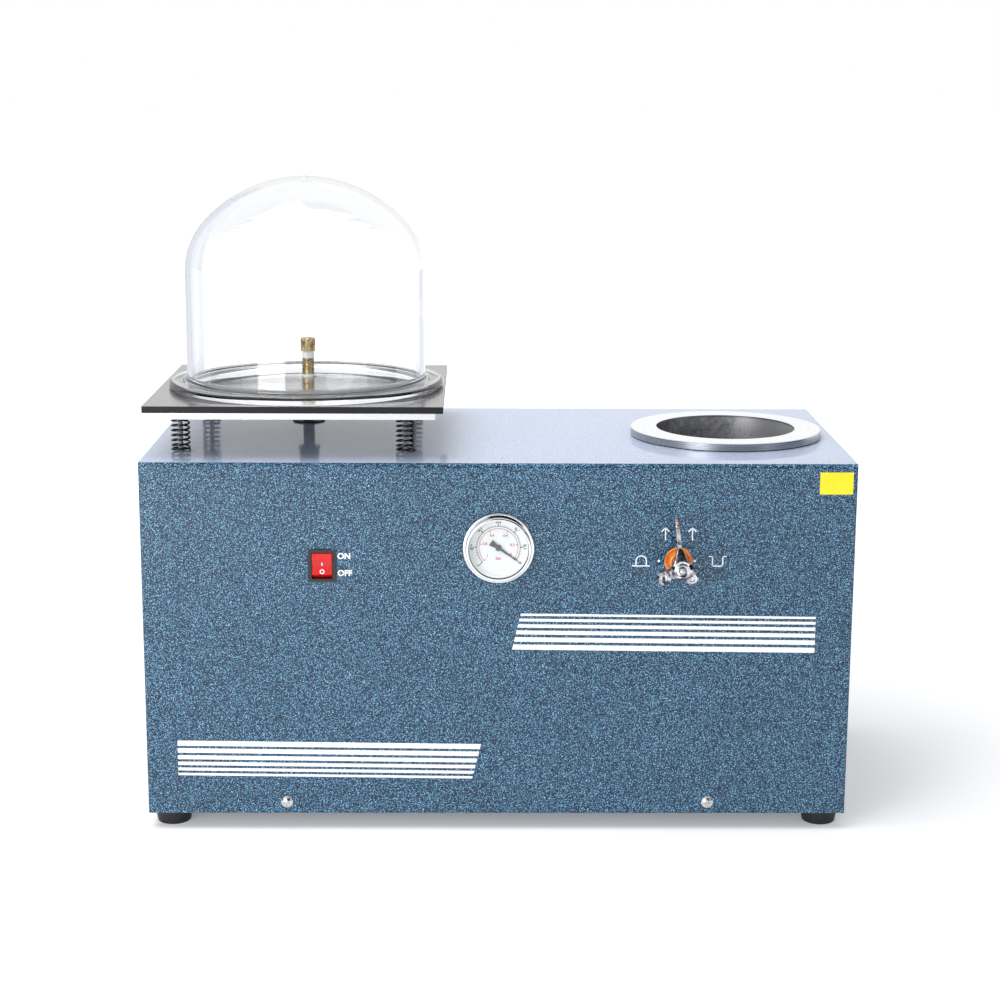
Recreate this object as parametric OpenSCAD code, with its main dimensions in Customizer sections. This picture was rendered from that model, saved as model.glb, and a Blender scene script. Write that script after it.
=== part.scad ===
// Jewelry vacuum casting machine: a sheet metal cabinet with a vacuum pump inside, an investment
// table under a glass bell jar on the left and a casting chamber sunk into the top on the right.
// Millimetres. +X is the machine's right, +Y its back and +Z up. The origin is on the floor, in
// the middle of the machine's outer box. Inside the modules Y runs back from the cabinet's front
// face and Z up from the cabinet's bottom edge.

/* [Cabinet] */
// Width of the cabinet
cab_w = 690; // [680:5:740]
// Depth of the cabinet, front face to rear edge
cab_d = 324; // [318:2:350]
// Height of the cabinet above its bottom edge
cab_h = 352.5; // [350:0.5:370]
// Sheet thickness of the shell
sheet_t = 1.5; // [1:0.1:2]
// Outer radius of the fold between the front and the top
fold_r = 4; // [3:0.5:8]
// Outer radius of the upright edges at the front
edge_r = 2.2; // [2.1:0.1:4]
// Width of the lips that carry the rear cover
lip_w = 16; // [14:1:20]
// Thickness of the base pan's sheet
pan_t = 2; // [1.5:0.1:3]
// Height of the base pan's turned-up edge
pan_edge_h = 22; // [19:1:30]
// Distance of the front screws from the middle
screw_x = 208; // [150:1:260]
// Height of the front and side screws above the bottom edge
screw_z = 11.7; // [10:0.1:13]
// Head diameter of the shell's dome screws
dome_head_d = 12; // [9:0.5:14]
// Shank diameter of the shell's and the rear cover's screws
dome_shank_d = 5; // [4:0.1:6]
// Head diameter of the rear cover's screws
rear_head_d = 9; // [8:0.5:11]

/* [Feet] */
// Height of a rubber foot
foot_h = 17.5; // [12:0.5:24]
// Diameter of a foot where it meets the cabinet
foot_top_d = 38; // [34:0.5:40]
// Diameter of a foot on the floor
foot_low_d = 33; // [28:0.5:34]
// Distance of a foot's middle from the cabinet's side
foot_side = 21; // [21:0.5:40]
// Distance of a foot's middle from the cabinet's front and from its rear edge
foot_end = 30; // [26:0.5:60]

/* [Investment table] */
// Distance of the table's middle from the cabinet's left side
table_side = 147.5; // [145:0.5:152]
// Distance of the table's middle behind the front face
table_y = 150; // [145:1:160]
// Clear height between the cabinet and the table's plate
table_gap = 39.5; // [36:0.5:46]
// Side of the rubber pad, left to right
pad_w = 288; // [286:1:300]
// Side of the rubber pad, front to back
pad_d = 280; // [280:1:296]
// Thickness of the rubber pad
pad_t = 6.5; // [4:0.5:10]
// Thickness of the aluminium plate
plate_t = 7; // [6:0.5:10]
// How far the pad reaches past the plate on each side
plate_inset = 6.5; // [3:0.5:10]

/* [Springs] */
// Half the distance between the springs, left to right
spring_dx = 109.3; // [100:0.1:116]
// Half the distance between the springs, front to back
spring_dy = 91; // [80:1:100]
// How far the springs' middle lies to the left of the table's middle
spring_shift = 1.7; // [0:0.1:3]
// How far the springs' middle lies behind the table's middle
spring_back = 3; // [0:0.5:5]
// How far the front row lies to the left of that middle, and the rear row to its right
spring_skew = 2.5; // [0:0.1:4]
// Outer diameter of a spring
spring_d = 19.5; // [16:0.5:22]
// Diameter of the spring wire
wire_d = 2; // [1.6:0.1:2.2]
// Turns of a spring
spring_turns = 8.5; // [7:0.5:9]
// Diameter of the studs inside the springs
stud_d = 4.8; // [4:0.1:6]
// How far a stud reaches below the cabinet's top sheet
stud_tail = 14; // [11:0.5:20]

/* [Bell jar] */
// Outer diameter of the jar's wall
jar_d = 241.5; // [220:0.5:250]
// Height of the jar above the pad
jar_h = 211; // [190:1:230]
// Height of the jar's straight wall
jar_wall_h = 116; // [100:1:125]
// Thickness of the glass
glass_t = 5.5; // [4:0.5:7]
// Diameter of the jar's foot flange
jar_flange_d = 279; // [264:1:280]
// Thickness of the jar's foot flange
jar_flange_t = 8; // [6:0.5:10]
// Radius of the dome's shoulder
shoulder_r = 75; // [60:1:80]
// How far the jar stands to the right of the table's middle
jar_shift = 3; // [0:0.5:3]

/* [Standpipe] */
// Distance of the standpipe behind the table's middle
pipe_back = 90; // [80:1:95]
// Distance of the standpipe to the left of the table's middle
pipe_shift = 3; // [0:0.5:6]
// Height of the standpipe's cap above the pad
pipe_h = 39; // [34:0.5:60]
// Outer diameter of the standpipe
pipe_d = 12.6; // [11:0.1:14]
// Diameter of the standpipe's thread
pipe_thread_d = 9.5; // [9:0.1:10]
// Bore of the standpipe
pipe_bore_d = 6; // [5:0.5:8]
// Width of the square cap on the standpipe
cap_w = 12; // [12:0.1:16]
// Height of the cap
cap_h = 13.3; // [12:0.1:18]
// Diameter of the cap's cross holes
cap_hole_d = 2.5; // [2:0.5:4]
// Height of the sealing tape under the cap
tape_h = 7; // [5:0.5:10]

/* [Table hose] */
// Outer diameter of the hoses
hose_d = 12.2; // [10:0.1:13]
// Bore of the hoses
hose_bore_d = 7; // [6:0.5:8]
// How far the hose nut reaches below the plate
hose_nut_h = 12; // [10:0.5:18]
// Diameter of the hose nut's washer
hose_disc_d = 24; // [22:1:30]
// Diameter of the bush's flange where the hose comes out of the top
bush_d = 34.4; // [28:0.2:38]
// How far the moving hose reaches below the cabinet's top
riser_tail = 30; // [24:1:36]

/* [Casting chamber] */
// Distance of the chamber's middle from the cabinet's right side
chamber_side = 109.7; // [106:0.1:114]
// Distance of the chamber's middle behind the front face
chamber_y = 160.4; // [155:0.1:165]
// Diameter of the machined ring
ring_d = 195; // [188:1:200]
// Height of the ring above its gasket
ring_t = 7.6; // [6:0.1:12]
// Thickness of the gasket under the ring
gasket_t = 1; // [0.5:0.1:2]
// Bore of the chamber
chamber_bore_d = 142; // [130:1:144]
// Wall of the cast cup
cup_wall = 8; // [6:0.5:9]
// Depth of the cup inside, below the ring's top
cup_depth = 176; // [150:1:186]
// Depth of the machined part of the bore
bore_land = 30; // [20:1:40]

/* [Gauge] */
// Depth of the gauge's middle below the top
gauge_drop = 82.5; // [70:0.5:100]
// Diameter of the chrome bezel
bezel_d = 69; // [67:0.5:74]
// How far the bezel stands out of the panel
bezel_h = 10; // [8:0.5:12]
// Diameter of the visible dial
dial_d = 57; // [54:0.5:58]
// Diameter of the gauge's case behind the panel
gauge_case_d = 61; // [58:0.5:62]
// Depth of the gauge's case behind the panel
gauge_case_h = 24; // [20:1:30]
// Length of the pointer from its middle to its tip
pointer_r = 22.7; // [16:0.1:24]
// Length of the pointer's tail
pointer_tail = 9; // [6:0.5:11]
// Angle of the pointer at rest, below the right-hand side
pointer_rest = 35; // [30:1:45]

/* [Power switch] */
// Distance of the switch's middle to the left of the cabinet's middle
switch_x = 170.2; // [150:0.1:190]
// Depth of the switch's middle below the top
switch_drop = 100.3; // [85:0.1:112]
// Width of the switch's bezel
switch_w = 26.7; // [25:0.1:30]
// Height of the switch's bezel
switch_h = 32; // [30:0.5:36]
// Width of the rocker
rocker_w = 19; // [18:0.1:20]
// Height of the rocker
rocker_h = 25; // [24:0.1:25.5]
// Angle that the rocker turns through between off and on
rocker_swing = 16; // [14:1:18]
// Depth of the switch's housing behind the panel
switch_depth = 24; // [20:1:30]

/* [Selector valve] */
// Distance of the valve to the right of the cabinet's middle
valve_x = 173.9; // [170:0.1:180]
// Depth of the valve below the top
valve_drop = 95.1; // [88:0.1:102]
// Diameter of the collar on the panel
collar_d = 27; // [26:0.5:32]
// How far the collar stands out of the panel
collar_h = 8; // [6:0.5:10]
// How far the handle's hub stands out of the panel
handle_reach = 43; // [40:0.5:48]
// Diameter of the handle's hub
hub_d = 21; // [18:0.5:24]
// Length of the handle's hub
hub_l = 15; // [12:0.5:18]
// Length of the handle's long arm from the valve's middle
long_arm = 52.4; // [46:0.1:56]
// Diameter of the ends of the two short arms
lug_d = 13; // [11:0.5:14]
// Diameter of the valve's stem
stem_d = 9; // [8:0.5:10]

/* [Vacuum pump] */
// Distance of the pump's back end from the cabinet's left side
pump_side = 40; // [35:1:45]
// Distance of the pump's axis behind the front face
pump_y = 168; // [160:1:175]
// Height of the pump's axis above the bottom edge
pump_z = 104; // [100:1:115]
// Length of the oil case
oil_case_l = 112; // [100:1:116]
// Width of the oil case
oil_case_w = 128; // [110:1:140]
// Height of the oil case
oil_case_h = 168; // [150:1:172]
// Diameter of the motor's shell
motor_d = 122; // [110:1:130]
// Length of the motor's shell
motor_l = 158; // [140:1:165]
// Length of the fan cowl
cowl_l = 46; // [40:1:52]
// Diameter of the motor shaft
shaft_d = 14; // [12:0.5:16]
// Number of fan blades
fan_blades = 7; // [5:1:9]

/* [Rear cover] */
// Width of a vent slot
slot_w = 60; // [40:1:70]
// Height of a vent slot
slot_h = 5; // [4:0.5:6]
// Number of vent slots in a column
slot_rows = 9; // [5:1:10]
// Distance of the power inlet from the cabinet's left side, seen from the front
inlet_side = 60; // [55:1:75]
// Height of the power inlet above the bottom edge
inlet_z = 70; // [60:1:90]

/* [Hidden] */
NODES = ["cabinet_shell", "base_pan", "rear_cover", "shell_screws", "rear_screws",
    "foot_front_left", "foot_front_right", "foot_rear_left", "foot_rear_right", "foot_screws",
    "table_plate", "table_pad", "table_studs", "stud_nuts",
    "spring_front_left", "spring_front_right", "spring_rear_left", "spring_rear_right",
    "hose_nut", "riser_hose", "hose_coupler", "riser_grommet", "standpipe", "standpipe_cap", "pipe_tape",
    "bell_jar",
    "casting_chamber", "chamber_gasket", "chamber_bolts", "chamber_elbow",
    "gauge_bezel", "gauge_case", "gauge_dial", "gauge_lens", "gauge_pointer", "gauge_stem",
    "switch_housing", "switch_rocker",
    "valve_body", "valve_collar", "valve_stem", "valve_handle", "handle_screw",
    "table_hose", "chamber_hose", "pump_hose", "gauge_tube",
    "pump_cradle", "pump_bolts", "oil_case", "oil_plugs", "sight_glass", "exhaust_filter",
    "pump_motor", "motor_rotor", "cooling_fan", "fan_cowl", "capacitor", "power_inlet"];
node = "all";

// Clearances
fit_gap = 0.3;          // between pieces that may not touch, and round a fastener's seat
run_gap = 0.05;         // radial clearance of a shaft that turns in its bore
slip_gap = 1;           // radial clearance of a stud that slides through the top sheet
weld_gap = 0.1;         // hairline along a welded seam

// The outer box, from which the origin follows
rear_screw_h = 2.6;
inlet_flange_t = 3;
rear_reach = sheet_t + max(rear_screw_h, inlet_flange_t);
handle_front = handle_reach + 1.6;
face_y = -(cab_d + rear_reach - handle_front) / 2;

// Places across the cabinet and up its front, from its sides and its top
table_x = cab_w / 2 - table_side;
chamber_x = cab_w / 2 - chamber_side;
pump_x = cab_w / 2 - pump_side;
inlet_x = cab_w / 2 - inlet_side;
gauge_z = cab_h - gauge_drop;
switch_z = cab_h - switch_drop;
valve_z = cab_h - valve_drop;

top_in = cab_h - sheet_t;
table_low = cab_h + table_gap;
pad_low = table_low + plate_t;
pad_top = pad_low + pad_t;
spring_seat = 0.15;
coil_r = (spring_d - wire_d) / 2;

// Puts the cabinet's own axes (from the front face, from the bottom edge) into the part's frame
module placed() {
    translate([0, face_y, foot_h])
        children();
}

// A cylinder along Y from y0 to y1
module along_y(d, y0, y1, segments = 48) {
    translate([0, y0, 0])
        rotate([-90, 0, 0])
            cylinder(h = y1 - y0, d = d, $fn = segments);
}

// A cylinder along X from x0 to x1
module along_x(d, x0, x1, segments = 48) {
    translate([x0, 0, 0])
        rotate([0, 90, 0])
            cylinder(h = x1 - x0, d = d, $fn = segments);
}

// Turns a profile (radius, distance out of the panel) about an axis that points out of the panel
module out_of_panel() {
    rotate([90, 0, 0])
        children();
}

// A low dome on the XY plane: the cap of a sphere, with a short straight rim
module dome_cap(d, h) {
    rim = h * 0.25;
    rise = h - rim;
    ball_r = (d * d / 4 + rise * rise) / (2 * rise);
    cylinder(h = rim, d = d, $fn = 48);
    intersection() {
        translate([0, 0, rim + rise - ball_r])
            sphere(r = ball_r, $fn = 96);
        translate([0, 0, rim])
            cylinder(h = h, d = d, $fn = 48);
    }
}

// A plate with round corners, lying on the XY plane, centred
module round_plate(w, d, h, r) {
    linear_extrude(h)
        round_outline(w, d, r);
}

module round_outline(w, d, r) {
    square([w - 2 * r, d], center = true);
    square([w, d - 2 * r], center = true);
    for (sx = [-1, 1], sy = [-1, 1])
        translate([sx * (w / 2 - r), sy * (d / 2 - r)])
            circle(r = r, $fn = 32);
}

// A bent tube: rings of points along a path, with an outer and, where wanted, an inner skin
function direction(p, i) =
    let (a = p[max(i - 1, 0)], b = p[min(i + 1, len(p) - 1)])
    (b - a) / norm(b - a);
function ring_axes(t, ref) =
    let (u0 = cross(t, ref), u = u0 / norm(u0))
    [u, cross(t, u)];
function ring(c, axes, r, sides) =
    [for (k = [0 : sides - 1])
        c + r * cos(360 * k / sides) * axes[0] + r * sin(360 * k / sides) * axes[1]];
function all_rings(p, r, sides, ref) =
    [for (i = [0 : len(p) - 1]) each ring(p[i], ring_axes(direction(p, i), ref), r, sides)];
function skin(rings, sides, start, flip) =
    [for (i = [0 : rings - 2], k = [0 : sides - 1])
        let (a = start + i * sides + k, b = start + i * sides + (k + 1) % sides,
            c = a + sides, d = b + sides)
        each flip ? [[a, c, b], [b, c, d]] : [[a, b, c], [b, d, c]]];
function end_rim(outer, inner, sides, flip) =
    [for (k = [0 : sides - 1])
        let (a = outer + k, b = outer + (k + 1) % sides, c = inner + k, d = inner + (k + 1) % sides)
        each flip ? [[a, b, c], [b, d, c]] : [[a, c, b], [b, c, d]]];

// ref is a direction that the path never runs along
module solid_tube(p, d, sides, ref) {
    rings = len(p);
    polyhedron(points = all_rings(p, d / 2, sides, ref),
        faces = concat(skin(rings, sides, 0, true),
            [[for (k = [0 : sides - 1]) k]],
            [[for (k = [sides - 1 : -1 : 0]) (rings - 1) * sides + k]]));
}

module hollow_tube(p, d, bore, sides, ref) {
    rings = len(p);
    inner = rings * sides;
    last = (rings - 1) * sides;
    polyhedron(points = concat(all_rings(p, d / 2, sides, ref), all_rings(p, bore / 2, sides, ref)),
        faces = concat(skin(rings, sides, 0, true), skin(rings, sides, inner, false),
            end_rim(0, inner, sides, true), end_rim(last, inner + last, sides, false)));
}

// A hose's path: it leaves a straight along da and comes into b straight along db, each for a
// stretch, with one smooth bend between
function bend(a, da, b, db, pull, steps, stub) =
    let (p0 = a + stub * da, p3 = b + stub * db, p1 = p0 + pull * da, p2 = p3 + pull * db)
    concat([a], [for (i = [0 : steps]) let (t = i / steps, s = 1 - t)
        s * s * s * p0 + 3 * s * s * t * p1 + 3 * s * t * t * p2 + t * t * t * p3], [b]);

// ---------- cabinet

module side_outline(d, h, r) {
    translate([r, 0])
        square([d - r, h]);
    square([d, h - r]);
    translate([r, h - r])
        circle(r = r, $fn = 64);
}

// The cabinet's outer or inner block: folded at the front of the top, rounded at the front edges
module cabinet_block(inset, depth, low) {
    w = cab_w - 2 * inset;
    intersection() {
        translate([-w / 2, inset, -low])
            rotate([90, 0, 90])
                linear_extrude(w)
                    side_outline(depth, cab_h - inset + low, fold_r - inset);
        translate([0, inset, -low])
            linear_extrude(cab_h + low) {
                translate([-w / 2, edge_r - inset])
                    square([w, depth]);
                translate([-w / 2 + edge_r - inset, 0])
                    square([w - 2 * (edge_r - inset), depth]);
                for (s = [-1, 1])
                    translate([s * (w / 2 - edge_r + inset), edge_r - inset])
                        circle(r = edge_r - inset, $fn = 32);
            }
    }
}

gauge_hole_d = gauge_case_d + 2 * fit_gap;
collar_thread_d = collar_d - 9;
bush_hole_d = hose_d + 8;
cup_d = chamber_bore_d + 2 * cup_wall;
chamber_bolt_r = (cup_d / 2 + ring_d / 2) / 2;
side_screw_y = [60, cab_d - 60];
rear_screw_x = [-cab_w / 2 + lip_w / 2 + 1, -cab_w / 6, cab_w / 6, cab_w / 2 - lip_w / 2 - 1];
rear_screw_z = [cab_h * 0.22, cab_h * 0.78];

spring_splay = 1;       // the front row is wider than the rear one by this on each side
function spring_at(sx, sy) =
    [-table_x - spring_shift + sy * spring_skew + sx * (spring_dx - sy * spring_splay),
        table_y + spring_back + sy * spring_dy];

module at_springs() {
    for (sx = [-1, 1], sy = [-1, 1])
        translate(spring_at(sx, sy))
            children();
}

module at_rear_screws() {
    for (x = rear_screw_x)
        translate([x, 0, cab_h - lip_w / 2 - 1])
            children();
    for (x = [rear_screw_x[0], rear_screw_x[3]], z = rear_screw_z)
        translate([x, 0, z])
            children();
    for (x = [rear_screw_x[1], rear_screw_x[2]])
        translate([x, 0, screw_z])
            children();
}

module shell_screw_holes(d) {
    for (s = [-1, 1]) {
        translate([s * screw_x, 0, screw_z])
            along_y(d, -1, 6);
        for (y = side_screw_y)
            translate([s * cab_w / 2, y, screw_z])
                along_x(d, -6, 6);
    }
}

// Sheets for the front, the top, the sides and the lips at the back, welded along their edges
module cabinet_shell() placed() color([0.32, 0.46, 0.56]) {
    difference() {
        union() {
            difference() {
                cabinet_block(0, cab_d, 0);
                cabinet_block(sheet_t, cab_d + 1, 1);
            }
            // lips round the back, which carry the rear cover
            difference() {
                translate([-cab_w / 2, cab_d - sheet_t, pan_edge_h + 2])
                    cube([cab_w, sheet_t, cab_h - pan_edge_h - 2]);
                translate([-cab_w / 2 + lip_w, cab_d - sheet_t - 1, 0])
                    cube([cab_w - 2 * lip_w, sheet_t + 2, cab_h - lip_w]);
            }
        }
        // the hairlines that are left of the welds
        for (s = [-1, 1]) {
            translate([s * (cab_w / 2 - sheet_t - weld_gap / 2), cab_d / 2, cab_h / 2])
                cube([weld_gap, 2 * cab_d, 2 * cab_h], center = true);
            translate([s * (cab_w / 2 - lip_w - 1), cab_d, cab_h - lip_w])
                cube([weld_gap, 3 * sheet_t, 2 * (lip_w - fold_r)], center = true);
        }
        translate([0, cab_d / 2, cab_h - fold_r])
            cube([cab_w - 2 * sheet_t, 2 * cab_d, weld_gap], center = true);
        // holes in the top
        translate([chamber_x, chamber_y, top_in - 1])
            cylinder(h = sheet_t + 2, d = cup_d + 2 * slip_gap, $fn = 96);
        translate([chamber_x, chamber_y, top_in - 1])
            chamber_bolt_circle()
                cylinder(h = sheet_t + 2, d = 7, $fn = 32);
        at_springs()
            translate([0, 0, top_in - 1])
                cylinder(h = sheet_t + 2, d = stud_d + 2 * slip_gap, $fn = 32);
        translate([pipe_x, pipe_y, top_in - 1])
            cylinder(h = sheet_t + 2, d = bush_hole_d, $fn = 48);
        // holes in the front
        translate([0, 0, gauge_z])
            along_y(gauge_hole_d, -1, sheet_t + 1, 96);
        translate([valve_x, 0, valve_z])
            along_y(collar_thread_d + 2 * fit_gap, -1, sheet_t + 1);
        translate([-switch_x, 0, switch_z])
            cube([switch_w - 3.4, 8, switch_h - 3.4], center = true);
        shell_screw_holes(dome_shank_d + 2 * fit_gap);
        // holes in the lips
        translate([0, cab_d, 0])
            at_rear_screws()
                along_y(dome_shank_d + 2 * fit_gap, -3, 3, 32);
    }
}

module base_pan() placed() color([0.30, 0.43, 0.52]) {
    w = cab_w - 2 * sheet_t;
    rear_w = cab_w - 2 * lip_w - 4;
    side_end = cab_d - sheet_t - fit_gap;
    difference() {
        intersection() {
            cabinet_block(sheet_t + fit_gap, cab_d, 0);
            union() {
                translate([-w / 2, 0, 0])
                    cube([w, side_end, pan_t]);
                translate([-w / 2, 0, 0])
                    cube([w, sheet_t + fit_gap + pan_t, pan_edge_h]);
                for (s = [-1, 1])
                    translate([s * (w / 2 - fit_gap - pan_t / 2) - pan_t / 2, 0, 0])
                        cube([pan_t, cab_d - lip_w, pan_edge_h]);
                translate([-rear_w / 2, 0, 0])
                    cube([rear_w, cab_d, pan_t]);
                translate([-rear_w / 2, cab_d - pan_t, 0])
                    cube([rear_w, pan_t, pan_edge_h]);
            }
        }
        shell_screw_holes(dome_shank_d + 2 * fit_gap);
        translate([0, cab_d, 0])
            at_rear_screws()
                along_y(dome_shank_d + 2 * fit_gap, -4, 3, 32);
        at_feet()
            translate([0, 0, -1])
                cylinder(h = pan_t + 2, d = foot_bolt_d + 2 * fit_gap, $fn = 32);
        at_cradle_bolts()
            translate([0, 0, -1])
                cylinder(h = pan_t + 2, d = cradle_bolt_d + 2 * fit_gap, $fn = 32);
    }
}

vent_pitch = slot_h * 2.2;
vent_cols = [-0.22, 0.02, 0.26];

module rear_cover() placed() color([0.30, 0.43, 0.52]) {
    difference() {
        translate([0, cab_d, cab_h / 2])
            rotate([-90, 0, 0])
                round_plate(cab_w - 3, cab_h - 3, sheet_t, 3);
        for (c = vent_cols, i = [0 : slot_rows - 1])
            translate([c * cab_w, cab_d - 1, cab_h * 0.42 + i * vent_pitch])
                vent_slot(slot_w, slot_h, sheet_t + 2);
        translate([-inlet_x, cab_d, inlet_z])
            cube([inlet_w - 12, 2 * sheet_t + 2, inlet_h - 3], center = true);
        translate([-inlet_x, cab_d, inlet_z])
            for (s = [-1, 1])
                translate([s * inlet_screw_dx, 0, 0])
                    along_y(3.6, -3, 3, 32);
        translate([0, cab_d, 0])
            at_rear_screws()
                along_y(dome_shank_d + 2 * fit_gap, -3, 3, 32);
    }
    // a louvre hood over each slot, pressed outwards
    for (c = vent_cols, i = [0 : slot_rows - 1])
        translate([c * cab_w, cab_d + sheet_t, cab_h * 0.42 + i * vent_pitch + slot_h / 2])
            louvre_hood(slot_w, slot_h);
}

// A slot with round ends, through a sheet that stands upright across Y
module vent_slot(w, h, t) {
    translate([-(w - h) / 2, 0, -h / 2])
        cube([w - h, t, h]);
    for (s = [-1, 1])
        translate([s * (w - h) / 2, 0, 0])
            along_y(h, 0, t, 32);
}

// Pressed hood: a thin quarter-round strip above the slot
module louvre_hood(w, h) {
    r = 2.4;
    translate([-w / 2, 0, 0])
        rotate([90, 0, 90])
            linear_extrude(w)
                intersection() {
                    difference() {
                        circle(r = r, $fn = 32);
                        circle(r = r - 0.9, $fn = 32);
                    }
                    square([r, r]);
                }
}

module shell_screws() placed() color("silver") {
    for (s = [-1, 1]) {
        translate([s * screw_x, 0, screw_z])
            out_of_panel()
                dome_screw();
        for (y = side_screw_y)
            translate([s * cab_w / 2, y, screw_z])
                rotate([0, s * 90, 0])
                    dome_screw();
    }
}

// A dome head screw whose head rests on the XY plane, with its cross slot and its shank below
module dome_screw() {
    difference() {
        dome_cap(dome_head_d, dome_head_d * 0.3);
        for (a = [0, 90])
            rotate(a)
                translate([-dome_head_d * 0.24, -0.6, dome_head_d * 0.17])
                    cube([dome_head_d * 0.48, 1.2, dome_head_d]);
    }
    translate([0, 0, -9])
        cylinder(h = 9, d = dome_shank_d, $fn = 32);
}

module rear_screws() placed() color("silver") {
    translate([0, cab_d + sheet_t, 0])
        at_rear_screws()
            rotate([-90, 0, 0]) {
                dome_cap(rear_head_d, rear_screw_h);
                translate([0, 0, -8])
                    cylinder(h = 8, d = dome_shank_d, $fn = 32);
            }
}

// ---------- feet

foot_bolt_d = 5;
foot_recess_d = foot_low_d * 0.5;
foot_recess_h = foot_h * 0.4;

module at_feet() {
    for (sx = [-1, 1], y = [foot_end, cab_d - foot_end])
        translate([sx * (cab_w / 2 - foot_side), y, 0])
            children();
}

module foot(sx, rear) placed() color([0.09, 0.09, 0.09]) {
    y = rear ? cab_d - foot_end : foot_end;
    rim = 2;
    translate([sx * (cab_w / 2 - foot_side), y, -foot_h])
        rotate_extrude($fn = 64)
            difference() {
                polygon([[0, 0], [foot_low_d / 2 - 1, 0], [foot_low_d / 2, 1],
                    [foot_top_d / 2, foot_h - rim], [foot_top_d / 2, foot_h], [0, foot_h]]);
                translate([-1, -1])
                    square([foot_recess_d / 2 + 1, foot_recess_h + 1]);
                translate([-1, -1])
                    square([foot_bolt_d / 2 + fit_gap + 1, foot_h + 2]);
            }
}

module foot_screws() placed() color("silver") {
    at_feet() {
        translate([0, 0, -foot_h + foot_recess_h - 2.5])
            cylinder(h = 2.5, d = foot_recess_d - 3, $fn = 32);
        translate([0, 0, -foot_h + foot_recess_h])
            cylinder(h = foot_h - foot_recess_h + pan_t + 6, d = foot_bolt_d, $fn = 32);
        translate([0, 0, pan_t])
            cylinder(h = 4, d = foot_bolt_d * 1.9, $fn = 6);
    }
}

// ---------- investment table

pipe_x = -table_x - pipe_shift;
pipe_y = table_y + pipe_back;
pipe_top = pad_top + pipe_h - cap_h;
washer_t = 1.2;
nut_h = 4.5;

module table_plate() placed() color([0.78, 0.79, 0.80]) {
    w = pad_w - 2 * plate_inset;
    d = pad_d - 2 * plate_inset;
    difference() {
        translate([-table_x, table_y, table_low])
            round_plate(w, d, plate_t, 2);
        translate([pipe_x, pipe_y, table_low - 1])
            cylinder(h = plate_t + 2, d = pipe_d + 2 * run_gap, $fn = 48);
        at_springs()
            translate([0, 0, table_low - 1])
                cylinder(h = plate_t, d = stud_d + 2 * run_gap, $fn = 32);
    }
}

module table_pad() placed() color([0.23, 0.23, 0.25]) {
    difference() {
        translate([-table_x, table_y, pad_low])
            round_plate(pad_w, pad_d, pad_t, 1.5);
        translate([pipe_x, pipe_y, pad_low - 1])
            cylinder(h = pad_t + 2, d = pipe_d + 2 * run_gap, $fn = 48);
    }
}

module table_studs() placed() color([0.80, 0.80, 0.82]) {
    at_springs()
        translate([0, 0, cab_h - stud_tail])
            cylinder(h = stud_tail + table_gap + plate_t - 1.5, d = stud_d, $fn = 32);
}

module stud_nuts() placed() color([0.75, 0.75, 0.78]) {
    at_springs()
        translate([0, 0, top_in - fit_gap])
            difference() {
                union() {
                    translate([0, 0, -washer_t])
                        cylinder(h = washer_t, d = stud_d * 2.6, $fn = 48);
                    translate([0, 0, -washer_t - nut_h])
                        cylinder(h = nut_h, d = stud_d * 1.9, $fn = 6);
                }
                translate([0, 0, -washer_t - nut_h - 1])
                    cylinder(h = washer_t + nut_h + 2, d = stud_d + 2 * run_gap, $fn = 32);
            }
}

// The wire's middle line: closed end turns, open turns between, and a straight end at each seat
coil_steps = 8;
coil_low = spring_seat + wire_d / 2;
coil_rise = table_gap - 2 * coil_low;
end_pitch = wire_d + 0.7;
open_pitch = (coil_rise - 2 * end_pitch) / (spring_turns - 2);
function coil_z(t) = coil_low + (t < 1 ? end_pitch * t
    : t < spring_turns - 1 ? end_pitch + open_pitch * (t - 1)
    : coil_rise - end_pitch * (spring_turns - t));
function coil_point(t) = [coil_r * cos(360 * t), coil_r * sin(360 * t), coil_z(t)];
coil_last = spring_turns * 360;
coil_path = concat([coil_point(0) + [0, -wire_d, 0]],
    [for (i = [0 : spring_turns * coil_steps]) coil_point(i / coil_steps)],
    [coil_point(spring_turns) + wire_d * [-sin(coil_last), cos(coil_last), 0]]);
coil_gap = min([for (i = [0 : len(coil_path) - 1], j = [i + coil_steps - 2 : len(coil_path) - 1])
    norm(coil_path[i] - coil_path[j])]) - wire_d;
echo("least gap of a spring to itself, mm", coil_gap);

module spring(sx, sy) placed() color([0.35, 0.35, 0.37]) {
    translate(concat(spring_at(sx, sy), cab_h))
        solid_tube(coil_path, wire_d, 6, [0, 0, 1]);
}

nut_disc_t = 2;
barb_l = 14;

module hose_nut() placed() color([0.07, 0.07, 0.07]) {
    translate([pipe_x, pipe_y, table_low - hose_nut_h])
        difference() {
            union() {
                cylinder(h = nut_disc_t, d = hose_disc_d, $fn = 64);
                cylinder(h = hose_nut_h - fit_gap, d = pipe_d + 8, $fn = 48);
                translate([0, 0, -barb_l])
                    cylinder(h = barb_l + 1, d = hose_bore_d - 2 * fit_gap, $fn = 48);
            }
            translate([0, 0, nut_disc_t + 1])
                cylinder(h = hose_nut_h, d = pipe_d + 2 * run_gap, $fn = 48);
            translate([0, 0, -barb_l - 1])
                cylinder(h = hose_nut_h, d = hose_bore_d - 3, $fn = 32);
        }
}

riser_low = cab_h - riser_tail;
riser_top = table_low - hose_nut_h - fit_gap;

module riser_hose() placed() color([0.05, 0.05, 0.05]) {
    translate([pipe_x, pipe_y, riser_low])
        difference() {
            cylinder(h = riser_top - riser_low, d = hose_d, $fn = 48);
            translate([0, 0, -1])
                cylinder(h = riser_top - riser_low + 2, d = hose_bore_d, $fn = 48);
        }
}

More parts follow.
